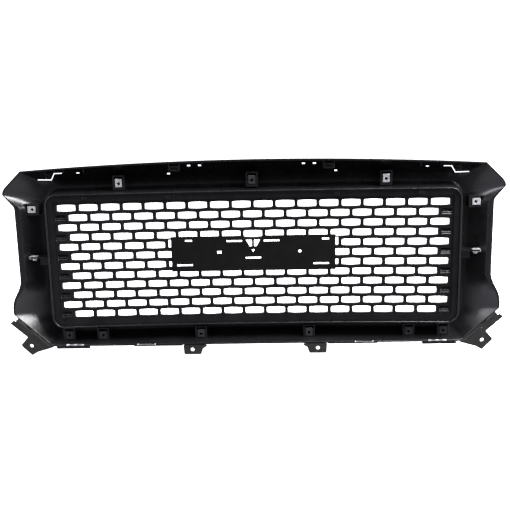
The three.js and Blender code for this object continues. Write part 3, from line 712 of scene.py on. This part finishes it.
def top_rib(x):
    half = RIB["thick"] / 2
    rib = block("rib", (x - half, RIB["rear"], RIB["low"]), (x + half, DEEP, TOP_Z))
    return bevel(rib, 0.5)


def top_slot(start, end, height):
    """A cut through the top wall that falls and spreads a little towards the front."""
    start, end = np.array(start), np.array(end)
    length = np.linalg.norm(end - start)
    along = (end - start) / length
    square = np.array((-along[1], along[0])) * height / 2
    a, b = start - along, end + along
    outline = [a - square, b - square, b + square, a + square]
    spread = SLOT_SPREAD * start[0]
    rings = [[(x + spread * y, y, z - SLOT_FALL * y) for x, z in outline] for y in (SLOT_REAR, DEEP)]
    return loft("top_slot", rings)


def lip_slot(low, high):
    z, half = LIP_SLOT["z"], LIP_SLOT["height"] / 2
    outline = rounded(rectangle(low, high, z - half, z + half), 1.0)
    return prism("lip_slot", outline, LIP_SLOT["rear"], LIP_SLOT["front"])


def lip_bar(low, high, bottom):
    top = LIP_SLOT["z"] - LIP_SLOT["height"] / 2
    bar = prism("lip_bar", rectangle(low, high, bottom, top), LIP_BAR["rear"], LIP_BAR["front"])
    return bevel(bar, 0.4)


def surround():
    shell = sweep("surround", wall_section)
    fittings = [nut_house(seat) for seat in HOUSE_SEATS.values()]
    fittings.append(side_tab())
    fittings += [top_rib(x) for x in RIB_PLACES]
    fittings = [copy for piece in fittings for copy in both_sides(piece)]
    inside = joined([*fittings, nut_house(CENTER_SEAT)])
    outside = joined([copy for boss in screw_bosses() for copy in both_sides(boss)])
    room = sweep("room", room_section)
    add(shell, cut(outside, copy_of(room, "room_copy")))
    add(shell, trim(inside, room))
    slots = [top_slot(*slot) for slot in TOP_SLOTS] + [lip_slot(*slot) for slot in LIP_SLOTS]
    slots += [tab_screw_hole(), corner_screw_hole()]
    for slot in slots:
        for copy in both_sides(slot):
            cut(shell, copy)
    for bar in LIP_BARS:
        for copy in both_sides(lip_bar(*bar)):
            add(shell, copy)
    return shell


# ---- mesh insert --------------------------------------------------------------------------------
OPENING = {"half_width": 20.3, "half_middle": 7.6, "half_end": 6.4, "radius": 2.4}
MESH_DROP = 0.9  # the middle of the rows, below the middle of the rim
WINDOW_ROWS = (4, 5, 6)
WINDOW = {"wide": 189.0, "narrow": 164.9, "top": 43.5}
BORDER = {"inner_x": 437.0, "inner_z": 133.0, "rise": 4.0}
POCKET = {"inner": 413.5, "outer": 434.5, "floor": 5.0}
LOUVRE = {"count": 3, "rise": 2.6, "lean": 1.8}
HOOK_PLACES = (185, 367)
HOOK = {"width": 12.0, "rise": 2.5, "low": 137.0, "high": 146.0}


def row_z(row):
    return ((ROWS - 1) / 2 - row) * PITCH_Z - MESH_DROP


def is_wide(row):
    return row % 2 == 0


def opening_centers(row):
    count = 18 if is_wide(row) else 17
    centers = [(i - (count - 1) / 2) * PITCH_X for i in range(count)]
    if row not in WINDOW_ROWS:
        return centers
    limit = WINDOW["wide"] if is_wide(row) else WINDOW["narrow"]
    return [x for x in centers if abs(x) > limit]


def barrel_outline(grow=0.0):
    """A rectangle with arched long sides and rounded corners."""
    w, end = OPENING["half_width"] + grow, OPENING["half_end"] + grow
    rise = OPENING["half_middle"] - OPENING["half_end"]
    arch = [(w * t, end + rise * (1 - t * t)) for t in (0.78, 0.4, 0.0, -0.4, -0.78)]
    upper = [(w, end), *arch, (-w, end)]
    lower = [(-x, -z) for x, z in upper]
    radii = [OPENING["radius"] + grow, *[0] * len(arch), OPENING["radius"] + grow]
    return rounded(upper + lower, radii * 2, steps=4)


def bowed_loft(name, layers):
    """Lofts outlines in XZ at given depths, each bent in plan as the mesh is."""
    return loft(name, [[(x, y + bow_at(x), z) for x, z in outline] for outline, y in layers])


def opening_tool(x, z):
    """A cutter that leaves the rear and front edges of the opening rounded."""
    def at(grow):
        return [(x + dx, z + dz) for dx, dz in barrel_outline(grow)]

    return bowed_loft(
        "opening",
        [
            (at(1.6), -1.0),
            (at(0.62), 0.0),
            (at(0.22), 0.25),
            (at(0.0), 0.8),
            (at(0.0), MESH_DEPTH - 0.8),
            (at(0.22), MESH_DEPTH - 0.25),
            (at(0.62), MESH_DEPTH),
            (at(1.6), MESH_DEPTH + 1.0),
        ],
    )


def pocket_tool(side, z):
    """A blind half opening at the end of a narrow row."""
    def at(grow):
        half = OPENING["half_end"] + grow
        outline = rectangle(POCKET["inner"] - grow, POCKET["outer"] + grow, z - half, z + half)
        return [(side * x, dz) for x, dz in rounded(outline, 1.6)]

    layers = [(at(1.4), -1.0), (at(0.4), 0.0), (at(0.0), 0.6), (at(-0.6), POCKET["floor"])]
    return bowed_loft("pocket", layers)


def louvre(side, z, height):
    """A wedge on the floor of a pocket, whose face slants up and inboard."""
    inner, outer = POCKET["inner"] - 0.5, POCKET["outer"] + 0.5
    floor = POCKET["floor"] + 0.5 + bow_at(POCKET["inner"])
    tip = floor - LOUVRE["rise"]
    section = [(floor, z), (tip, z), (tip, z + 0.3), (floor, z + height)]
    rings = []
    for x, lean in ((inner, 0.0), (outer, LOUVRE["lean"])):
        rings.append([(side * x, y - lean, height_at) for y, height_at in section])
    return loft("louvre", rings)


def pocket_louvres(side, z):
    """The saw-toothed floor of one pocket."""
    low = z - OPENING["half_end"] + 0.2
    pitch = (2 * OPENING["half_end"] - 0.4) / LOUVRE["count"]
    return [louvre(side, low + i * pitch, pitch * 0.98) for i in range(LOUVRE["count"])]


def window_tool():
    """The stepped window behind the emblem plate."""
    half = OPENING["half_end"]
    upper, lower = row_z(WINDOW_ROWS[0]), row_z(WINDOW_ROWS[-1])
    wide, narrow = WINDOW["wide"], WINDOW["narrow"]
    right = [
        (wide, WINDOW["top"]),
        (wide, upper - half),
        (narrow, upper - half),
        (narrow, lower + half),
        (wide, lower + half),
        (wide, lower - half),
    ]
    outline = right + [(-x, z) for x, z in right[::-1]]
    return prism("window", rounded(outline, 1.6), -DEEP, DEEP)


def bowed_slab(y0, y1, strips=150):
    """A slab that is larger than the mesh insert, bent in plan."""
    rings = []
    for i in range(strips + 1):
        x = (2 * i / strips - 1) * (RIM["half_x"] + 20)
        y = bow_at(x)
        rings.append([(x, y + y0, -TOP_Z), (x, y + y1, -TOP_Z), (x, y + y1, TOP_Z), (x, y + y0, TOP_Z)])
    return loft("slab", rings)


def border_recess():
    """The cutter of the mesh's rear side, which leaves the raised border. Its walls lean a little."""
    def outline_at(grow):
        x, z = BORDER["inner_x"] + grow, BORDER["inner_z"] + grow
        return rounded(rectangle(-x, x, -z, z), 2.0 + grow)

    layers = ((2.0, -DEEP), (0.0, DEEP))
    walls = loft("recess", [[(x, y, z) for x, z in outline_at(grow)] for grow, y in layers])
    return trim(bowed_slab(-BORDER["rise"] - 9, 0), walls)


def mesh_insert():
    half_x, half_z = RIM["half_x"] - GAP, RIM["half_z"] - GAP
    outline = rounded(rectangle(-half_x, half_x, -half_z, half_z), RIM["radius"] + 3, 8)
    insert = trim(bowed_slab(-BORDER["rise"], MESH_DEPTH), prism("outline", outline, -DEEP, DEEP))
    cut(insert, border_recess())
    tools = [window_tool()]
    for row in range(ROWS):
        tools += [opening_tool(x, row_z(row)) for x in opening_centers(row)]
        if not is_wide(row):
            tools += [pocket_tool(side, row_z(row)) for side in (-1, 1)]
    cut(insert, joined(tools))
    louvres = []
    for row in range(1, ROWS, 2):
        louvres += [*pocket_louvres(-1, row_z(row)), *pocket_louvres(1, row_z(row))]
    add(insert, joined(louvres))
    for x in HOOK_PLACES:
        for copy in both_sides(snap_hook(x)):
            add(insert, copy)
    return insert


def snap_hook(x):
    y = bow_at(x) - BORDER["rise"]
    half = HOOK["width"] / 2
    hook = block("hook", (x - half, y - HOOK["rise"], HOOK["low"]), (x + half, y + 1, HOOK["high"]))
    return bevel(hook, 0.7)


# ---- emblem plate -------------------------------------------------------------------------------
PLATE = {"half_x": 182.4, "bottom": -28.5, "top": 50.5, "thick": 3.0, "y": -5.9}
SLOT_HEIGHT = 4.0
PLATE_SLOTS = (
    (-151, -135.4, 41.1),
    (152.8, 168.6, 41.1),
    (-58.7, -24.2, 38.9),
    (24.2, 58.7, 38.9),
    (-17, 17, 0.5),
    (-170.8, -135.6, -14.3),
    (133.2, 168, -14.4),
)
SQUARE_HOLE = {"left": -80.0, "right": -70.5, "low": 11.0, "high": 17.0}
ROUND_HOLE = {"x": 103.5, "z": 14.0, "radius": 3.4}
NOTCH_HALF = 23.0
NOTCH_Z = 45.3
VEE = {"half_x": 16.0, "top": 41.4, "apex": 13.0, "cross_low": 19.6, "cross_high": 26.4, "bar": 2.5}


def vee_outlines():
    """The V-shaped cut is left in three windows by an upright and a level bar."""
    def edge_x(z):
        return VEE["half_x"] * (z - VEE["apex"]) / (VEE["top"] - VEE["apex"])

    high, low, bar, top = VEE["cross_high"], VEE["cross_low"], VEE["bar"], VEE["top"]
    side = [(bar, high), (edge_x(high), high), (VEE["half_x"], top), (bar, top)]
    tip = [(0, VEE["apex"]), (edge_x(low), low), (-edge_x(low), low)]
    return [side, [(-x, z) for x, z in side[::-1]], tip]


def emblem_plate():
    outline = rounded(rectangle(-PLATE["half_x"], PLATE["half_x"], PLATE["bottom"], PLATE["top"]), 2.0)
    plate = prism("plate", outline, PLATE["y"], PLATE["y"] + PLATE["thick"])
    half = SLOT_HEIGHT / 2
    outlines = [rounded(rectangle(a, b, z - half, z + half), 0.8) for a, b, z in PLATE_SLOTS]
    outlines += [rounded(outline, 0.6) for outline in vee_outlines()]
    notch = rectangle(-NOTCH_HALF, NOTCH_HALF, NOTCH_Z, PLATE["top"] + 5)
    outlines += [rounded(notch, 1.0), rounded(rectangle(*SQUARE_HOLE.values()), 0.8)]
    outlines.append(circle(ROUND_HOLE["radius"], center=(ROUND_HOLE["x"], ROUND_HOLE["z"])))
    for outline in outlines:
        cut(plate, prism("slot", outline, -DEEP, DEEP))
    return bevel(plate, 0.45, angle=50)


# ---- sheet nuts ---------------------------------------------------------------------------------
def nut_barrel(top):
    """The barrel below the far leaf, with a flared root and a chamfered end."""
    radius, end = NUT["barrel"], top - NUT["reach"]
    profile = [(radius + 0.8, top), (radius, top - 1.4), (radius, end + 0.6), (radius - 0.6, end)]
    return lathe("barrel", profile)


def sheet_nut():
    """A nut of bent sheet: two leaves over a panel's edge, with a threaded barrel on the far one."""
    edge = HOUSE["nut_edge"] + GAP
    foot = edge - NUT["length"]
    near, far, sheet = GAP, -SHEET - GAP, NUT["sheet"]
    outside = [
        (foot, near),
        (edge, near),
        (edge, far),
        (foot, far),
        (foot, far - sheet),
        (edge + sheet, far - sheet),
        (edge + sheet, near + sheet),
        (foot, near + sheet),
    ]
    profile = rounded(outside, [0, 0.5, 0.5, 0, 0, 1.7, 1.7, 0], steps=5)
    half = NUT["width"] / 2
    nut = loft("nut", [[(x, y, z) for y, z in profile] for x in (-half, half)])
    bevel(nut, 0.3, angle=60)
    add(nut, nut_barrel(far - sheet / 2))
    cut(nut, lathe("bore", thread_profile(-DEEP, far - 0.2)))
    cut(nut, lathe("hole", [(NUT["hole"] + 0.4, far - 1), (NUT["hole"] + 0.4, DEEP)]))
    return nut


def thread_profile(low, high, pitch=1.0):
    """The bore of the barrel, with the ridges of a thread."""
    start = -SHEET - NUT["reach"] - 3
    count = int((high - start) / pitch)
    ridges = [(NUT["hole"] - 0.3 * (i % 2), start + i * pitch) for i in range(count)]
    return [(NUT["hole"], low), *ridges, (NUT["hole"], high)]


# ---- tabs, brackets and screws ------------------------------------------------------------------
BRACKET_REAR = -26.0
BRACKET_SHEET = 3.0
BOLT_SIDES = 40
BOSS_RISE = 1.2
SCREW = {"radius": 2.5, "head": 5.0, "head_height": 3.0, "clearance": 3.0}
TAB_TOP = BOTTOM_Z - GAP - 0.2
TAB = {"x": 141.4, "z": -205.1, "hole": 4.7, "low": -216.0}
TAB_OUTLINE = (
    (109, TAB_TOP - 3),
    (109, TAB_TOP),
    (162, TAB_TOP),
    (160, TAB["low"]),
    (122.5, TAB["low"]),
    (117.5, TAB_TOP - 8),
)
TAB_LEG = {"left": 112.0, "right": 160.0, "front": -6.0, "low": TAB_TOP - 2.6}
TAB_SCREW = {"x": TAB["x"], "y": -15.0, "reach": 6.4}

ALONG = (np.array(DIAGONAL_END) - FLARE_LOW) / math.dist(DIAGONAL_END, FLARE_LOW)
AWAY = np.array((-ALONG[1], ALONG[0]))
CLEAR = 0.8
CORNER_OUTLINE = (
    (8, 5),
    (6, 15),
    (52, 15.5),
    (56, 15),
    (56, 39),
    (60, 41),
    (90, 43),
    (95, 28),
    (115.6, -3.6),
    (103, 2 * CLEAR),
    (60, 2 * CLEAR),
    (58, 5),
)
CORNER_BOLT = {"a": 75.3, "b": 26.0, "radius": 4.2}
CORNER_LEG = {"low": CLEAR + 0.4, "high": CLEAR + 3, "front": 0.0}
CORNER_LEG_OUTLINE = (
    (12, CORNER_LEG["high"]),
    (12, CORNER_LEG["low"]),
    (102.5, CORNER_LEG["low"]),
    (111.6, -2),
    (115.6, -4.2),
    (113, -0.6),
    (104, CORNER_LEG["high"]),
)
CORNER_WEB = {"outline": ((14, 6.5), (14, 1.5), (58, 1.5), (58, 6.5)), "thick": 2.0}
CORNER_SCREW = {"a": 44.0, "y": -8.0, "reach": 5.0, "hole_end": 16.0}


def corner_xz(point):
    """From the bracket's frame, a along the diagonal edge and b out of the shell, to X and Z."""
    return tuple(np.array(FLARE_LOW) + point[0] * ALONG + point[1] * AWAY)


def corner_plate(name, outline, y0, y1):
    return prism(name, [corner_xz(p) for p in outline], y0, y1)


def tab_screw_hole():
    outline = circle(SCREW["clearance"], center=(TAB_SCREW["x"], TAB_SCREW["y"]))
    return level_prism("screw_hole", outline, TAB["z"], TAB_LEG["low"] + TAB_SCREW["reach"])


def corner_screw_matrix():
    """Local z points out of the shell, from the foot of the bracket's leg."""
    x, z = corner_xz((CORNER_SCREW["a"], 0))
    away = Vector((AWAY[0], 0, AWAY[1]))
    along = Vector((ALONG[0], 0, ALONG[1]))
    return matrix_of(along, away.cross(along), away, (x, CORNER_SCREW["y"], z))


def corner_screw_hole():
    low, high = -CORNER_SCREW["reach"] - GAP, CORNER_SCREW["hole_end"]
    hole = level_prism("screw_hole", circle(SCREW["clearance"]), low, high)
    return placed(hole, corner_screw_matrix())


# The blocks on the outside of the shell that the screws bite into.
TAB_BOSS = {"half": 6.0, "rear": -22.0, "front": -9.0, "low": TAB_TOP + GAP, "high": -184.0}
CORNER_BOSS = {"outline": ((38, -12), (38, 0.9), (50, 0.9), (50, -12)), "rear": -12.0, "front": -3.5}


def screw_bosses():
    b = TAB_BOSS
    low = (TAB["x"] - b["half"], b["rear"], b["low"])
    high = (TAB["x"] + b["half"], b["front"], b["high"])
    corner = corner_plate("boss", CORNER_BOSS["outline"], CORNER_BOSS["rear"], CORNER_BOSS["front"])
    return [bevel(block("boss", low, high), 0.6), bevel(corner, 0.6)]


def bolt_boss(x, z, radius):
    """The raised ring around a bolt hole, on the front side of the sheet."""
    front = BRACKET_REAR + BRACKET_SHEET
    return prism("boss", circle(radius, BOLT_SIDES, (x, z)), front - 1, front + BOSS_RISE)


def lower_tab():
    front = BRACKET_REAR + BRACKET_SHEET
    outline = rounded(list(TAB_OUTLINE), [0.5, 0.5, 0.5, 3.0, 4.0, 3.0])
    plate = prism("tab", outline, BRACKET_REAR, front)
    leg = block(
        "leg",
        (TAB_LEG["left"], BRACKET_REAR + 1, TAB_LEG["low"]),
        (TAB_LEG["right"], TAB_LEG["front"], TAB_TOP - 0.01),
    )
    add(plate, leg)
    add(plate, bolt_boss(TAB["x"], TAB["z"], TAB["hole"] + 3.2))
    hole = circle(TAB["hole"], BOLT_SIDES, (TAB["x"], TAB["z"]))
    cut(plate, prism("hole", hole, BRACKET_REAR - 1, front + 3))
    cut(plate, tab_screw_hole())
    return bevel(plate, 0.5, angle=45)


def corner_bracket():
    front = BRACKET_REAR + BRACKET_SHEET
    radii = [1.5, 1.5, 0, 2.0, 1.5, 2.0, 3.0, 2.0, 1.0, 0, 0, 1.0]
    outline = rounded([corner_xz(p) for p in CORNER_OUTLINE], radii)
    plate = prism("bracket", outline, BRACKET_REAR, front)
    add(plate, corner_plate("leg", CORNER_LEG_OUTLINE, front - 1, CORNER_LEG["front"]))
    add(plate, corner_plate("web", CORNER_WEB["outline"], front - 1, front + CORNER_WEB["thick"]))
    x, z = corner_xz((CORNER_BOLT["a"], CORNER_BOLT["b"]))
    add(plate, bolt_boss(x, z, CORNER_BOLT["radius"] + 3.4))
    hole = circle(CORNER_BOLT["radius"], BOLT_SIDES, (x, z))
    cut(plate, prism("hole", hole, BRACKET_REAR - 1, front + 3))
    cut(plate, corner_screw_hole())
    return bevel(plate, 0.5, angle=45)


def screw(head_at, reach):
    """A pan-head screw along +z whose head lies on the level head_at, with a six-lobed recess."""
    head, height = SCREW["head"], SCREW["head_height"]
    body = lathe(
        "screw",
        [
            (1.0, head_at - reach),
            (SCREW["radius"], head_at - reach + 2.5),
            (SCREW["radius"], head_at + 0.2),
            (head, head_at + 0.2),
            (head, head_at + height * 0.45),
            (head * 0.86, head_at + height * 0.85),
            (head * 0.6, head_at + height),
        ],
    )
    lobes = [
        (1.75 + 0.4 * math.cos(6 * t)) * np.array((math.cos(t), math.sin(t)))
        for t in np.linspace(0, 2 * math.pi, 48, endpoint=False)
    ]
    return cut(body, level_prism("recess", lobes, head_at + height - 1.6, head_at + height + 1))


def tab_screw():
    head_at = -(TAB_LEG["low"] - GAP)
    body = screw(head_at, TAB_SCREW["reach"])
    flip = matrix_of((1, 0, 0), (0, -1, 0), (0, 0, -1), (TAB_SCREW["x"], TAB_SCREW["y"], 0))
    return placed(body, flip)


def corner_screw():
    head_at = CORNER_LEG["high"] + GAP
    return placed(screw(head_at, head_at + CORNER_SCREW["reach"]), corner_screw_matrix())


# ---- retainers and lip clips --------------------------------------------------------------------
RETAINERS = {"inner_retainer": (158.4, 178.6), "outer_retainer": (443, 451.6)}
RETAINER = {"rear": -6.0, "front": -1.5, "height": 11.5, "drop": 10.5}
RETAINER_MOUTH = {"side": 2.5, "low": 8.0, "high": 3.0, "floor": 1.5}
LIP_CLIP = {"thick": 0.9, "step": 4.0, "wave": 1.1, "rear": -25.6, "front": -20.0}
LIP_CLIP_WAVES = (0, 0, 1, 1, 0, 0, 1, 1, 0, 0)


def upper_retainer(left, right):
    top = crown_z((left + right) / 2) - RETAINER["drop"]
    low = top - RETAINER["height"]
    body = block("retainer", (left, RETAINER["rear"], low), (right, RETAINER["front"], top))
    side = RETAINER_MOUTH["side"]
    mouth_low, mouth_high = top - RETAINER_MOUTH["low"], top - RETAINER_MOUTH["high"]
    outline = rounded(rectangle(left + side, right - side, mouth_low, mouth_high), 1.0)
    floor = RETAINER["front"] - RETAINER_MOUTH["floor"]
    cut(body, prism("mouth", outline, RETAINER["rear"] - 1, floor))
    return bevel(body, 0.6, angle=50)


def lip_clip(low, high):
    """A leaf spring that lies in waves on the bar under a lip slot."""
    middle = (low + high) / 2
    floor = LIP_SLOT["z"] - LIP_SLOT["height"] / 2 + GAP
    start = middle - (len(LIP_CLIP_WAVES) - 1) / 2 * LIP_CLIP["step"]
    under = [
        (start + i * LIP_CLIP["step"], floor + h * LIP_CLIP["wave"])
        for i, h in enumerate(LIP_CLIP_WAVES)
    ]
    over = [(x, z + LIP_CLIP["thick"]) for x, z in under[::-1]]
    radii = ([0] + [1.2] * (len(under) - 2) + [0]) * 2
    clip = prism("clip", rounded(under + over, radii), LIP_CLIP["rear"], LIP_CLIP["front"])
    return bevel(clip, 0.12, angle=60)


# ---- the pieces ---------------------------------------------------------------------------------
def pair(piece, node, slot):
    """A piece on the right and its mirror image on the left."""
    left = mirrored(piece, node + "_left")
    finish_piece(piece, node + "_right", slot)
    finish_piece(left, node + "_left", slot)


def build_nuts():
    nut = sheet_nut()
    seats = {"top_nut_center": CENTER_SEAT}
    for name, seat in [*HOUSE_SEATS.items(), ("side_clip", SHELF_SEAT)]:
        seats[name + "_right"] = seat
        seats[name + "_left"] = mirrored_seat(seat)
    for node, seat in seats.items():
        # painted shade: the nuts that lie in shade get the darker copy of the steel
        look = "painted_shade_steel" if node.startswith(PAINTED_SHADE_NUTS) else "steel_nut"
        finish_piece(placed(copy_of(nut, node), seat_matrix(seat)), node, "steel_nut", look)
    bpy.data.objects.remove(nut)


def build_pieces():
    finish_piece(surround(), "surround_shell", "moulded_plastic")
    finish_piece(mesh_insert(), "mesh_insert", "moulded_plastic")
    finish_piece(emblem_plate(), "emblem_plate", "satin_plastic")
    build_nuts()
    pair(lower_tab(), "lower_tab", "bracket")
    pair(tab_screw(), "lower_tab_screw", "steel_nut")
    pair(corner_bracket(), "corner_bracket", "bracket")
    pair(corner_screw(), "corner_screw", "steel_nut")
    for node, between in RETAINERS.items():
        pair(upper_retainer(*between), node, "satin_plastic")
    pair(lip_clip(*LIP_SLOTS[0]), "outer_lip_clip", "steel_nut")
    pair(lip_clip(*LIP_SLOTS[1]), "inner_lip_clip", "steel_nut")


# ---- studio: metres and degrees, with the lens and the sensor in mm ------------------------------
CAMERA = {"distance": 1.7, "azimuth": 1.64, "elevation": 11.84, "roll": 1.3, "lens": 53.79}
CAMERA_TARGET = TO_PART @ Vector((3.7, 0, 5.5))
SENSOR = 36.0


def make_camera():
    azimuth, elevation = math.radians(CAMERA["azimuth"]), math.radians(CAMERA["elevation"])
    back = Vector(
        (
            math.sin(azimuth) * math.cos(elevation),
            -math.cos(azimuth) * math.cos(elevation),
            math.sin(elevation),
        )
    )
    right = Vector((math.cos(azimuth), math.sin(azimuth), 0))
    up = back.cross(right)
    roll = math.radians(CAMERA["roll"])
    rolled_right = right * math.cos(roll) - up * math.sin(roll)
    rolled_up = right * math.sin(roll) + up * math.cos(roll)
    data = bpy.data.cameras.new("camera")
    data.lens = CAMERA["lens"]
    data.sensor_width = SENSOR
    camera = bpy.data.objects.new("camera", data)
    bpy.context.scene.collection.objects.link(camera)
    place = CAMERA_TARGET + back * CAMERA["distance"]
    camera.matrix_world = matrix_of(rolled_right, rolled_up, back, place)
    bpy.context.scene.camera = camera


ROOM = (2.4, 0.04, 0.9)  # the room's brightness along X, Y and Z
ROOM_COLOR = (0.9, 0.9, 1.0, 1)
WHITE = (1, 1, 1, 1)
BACKDROP_STRENGTH = 1.05
FLOOR = {"half": 9.0, "below": 0.012, "glow": 0.9}  # metres, and the strength of its own light


def make_world():
    """White for the camera; for everything else a dim room that is brighter beside and above."""
    world = bpy.data.worlds.new("world")
    bpy.context.scene.world = world
    world.use_nodes = True
    tree = world.node_tree
    tree.nodes.clear()
    path = tree.nodes.new("ShaderNodeLightPath")
    room = tree.nodes.new("ShaderNodeBackground")
    room.inputs["Color"].default_value = ROOM_COLOR
    direction = tree.nodes.new("ShaderNodeTexCoord").outputs["Generated"]
    squares = tree.nodes.new("ShaderNodeVectorMath")
    squares.operation = "MULTIPLY"
    tree.links.new(direction, squares.inputs[0])
    tree.links.new(direction, squares.inputs[1])
    weigh = tree.nodes.new("ShaderNodeVectorMath")
    weigh.operation = "DOT_PRODUCT"
    weigh.inputs[1].default_value = ROOM
    tree.links.new(squares.outputs["Vector"], weigh.inputs[0])
    tree.links.new(weigh.outputs["Value"], room.inputs["Strength"])
    seen = tree.nodes.new("ShaderNodeBackground")
    seen.inputs["Color"].default_value = WHITE
    seen.inputs["Strength"].default_value = BACKDROP_STRENGTH
    choose = tree.nodes.new("ShaderNodeMixShader")
    output = tree.nodes.new("ShaderNodeOutputWorld")
    tree.links.new(path.outputs["Is Camera Ray"], choose.inputs["Fac"])
    tree.links.new(room.outputs["Background"], choose.inputs[1])
    tree.links.new(seen.outputs["Background"], choose.inputs[2])
    tree.links.new(choose.outputs["Shader"], output.inputs["Surface"])


def make_floor():
    """A pale floor that only the camera sees, so that it throws no light back on the part."""
    n = Nodes("floor")
    speckle = n.noise(40.0, 4.0)
    n.link(n.ramp(speckle, (0.3, gray(0.9)), (0.7, gray(0.94))), n.shader.inputs["Base Color"])
    n.shader.inputs["Roughness"].default_value = 0.9
    n.shader.inputs["Specular IOR Level"].default_value = 0.1
    n.shader.inputs["Emission Color"].default_value = WHITE
    n.shader.inputs["Emission Strength"].default_value = FLOOR["glow"]
    half = FLOOR["half"]
    level = CAD_BOX[0].z - FLOOR["below"]
    corners = [(-half, -half, level), (half, -half, level), (half, half, level), (-half, half, level)]
    floor = new_object("floor", corners, [(0, 1, 2, 3)])
    floor.data.materials.append(n.material)
    floor.visible_glossy = False
    floor.visible_diffuse = False


def area_light(name, place, target, size, power, color=(1, 1, 1)):
    data = bpy.data.lights.new(name, "AREA")
    data.shape = "RECTANGLE"
    data.size, data.size_y = size
    data.energy = power
    data.color = color
    light = bpy.data.objects.new(name, data)
    bpy.context.scene.collection.objects.link(light)
    light.location = place
    light.rotation_euler = (Vector(target) - Vector(place)).to_track_quat("-Z", "Y").to_euler()


def make_lights():
    area_light("key", (1.15, -0.5, 1.7), (-0.4, 0, 0), (1.3, 1.5), 210, (1.0, 0.98, 1.0))
    area_light("fill", (-1.3, -0.6, 1.7), (0.3, 0, 0), (0.8, 0.9), 28, (0.93, 0.95, 1.0))
    area_light("top", (0.0, -0.1, 2.2), (0, 0, 0), (2.4, 0.6), 12)
    area_light("front", (0.6, 2.4, 1.2), (0, 0, 0), (2.0, 1.4), 30)


build_pieces()
make_camera()
make_world()
make_floor()
make_lights()
bpy.context.scene.view_settings.view_transform = "Standard"
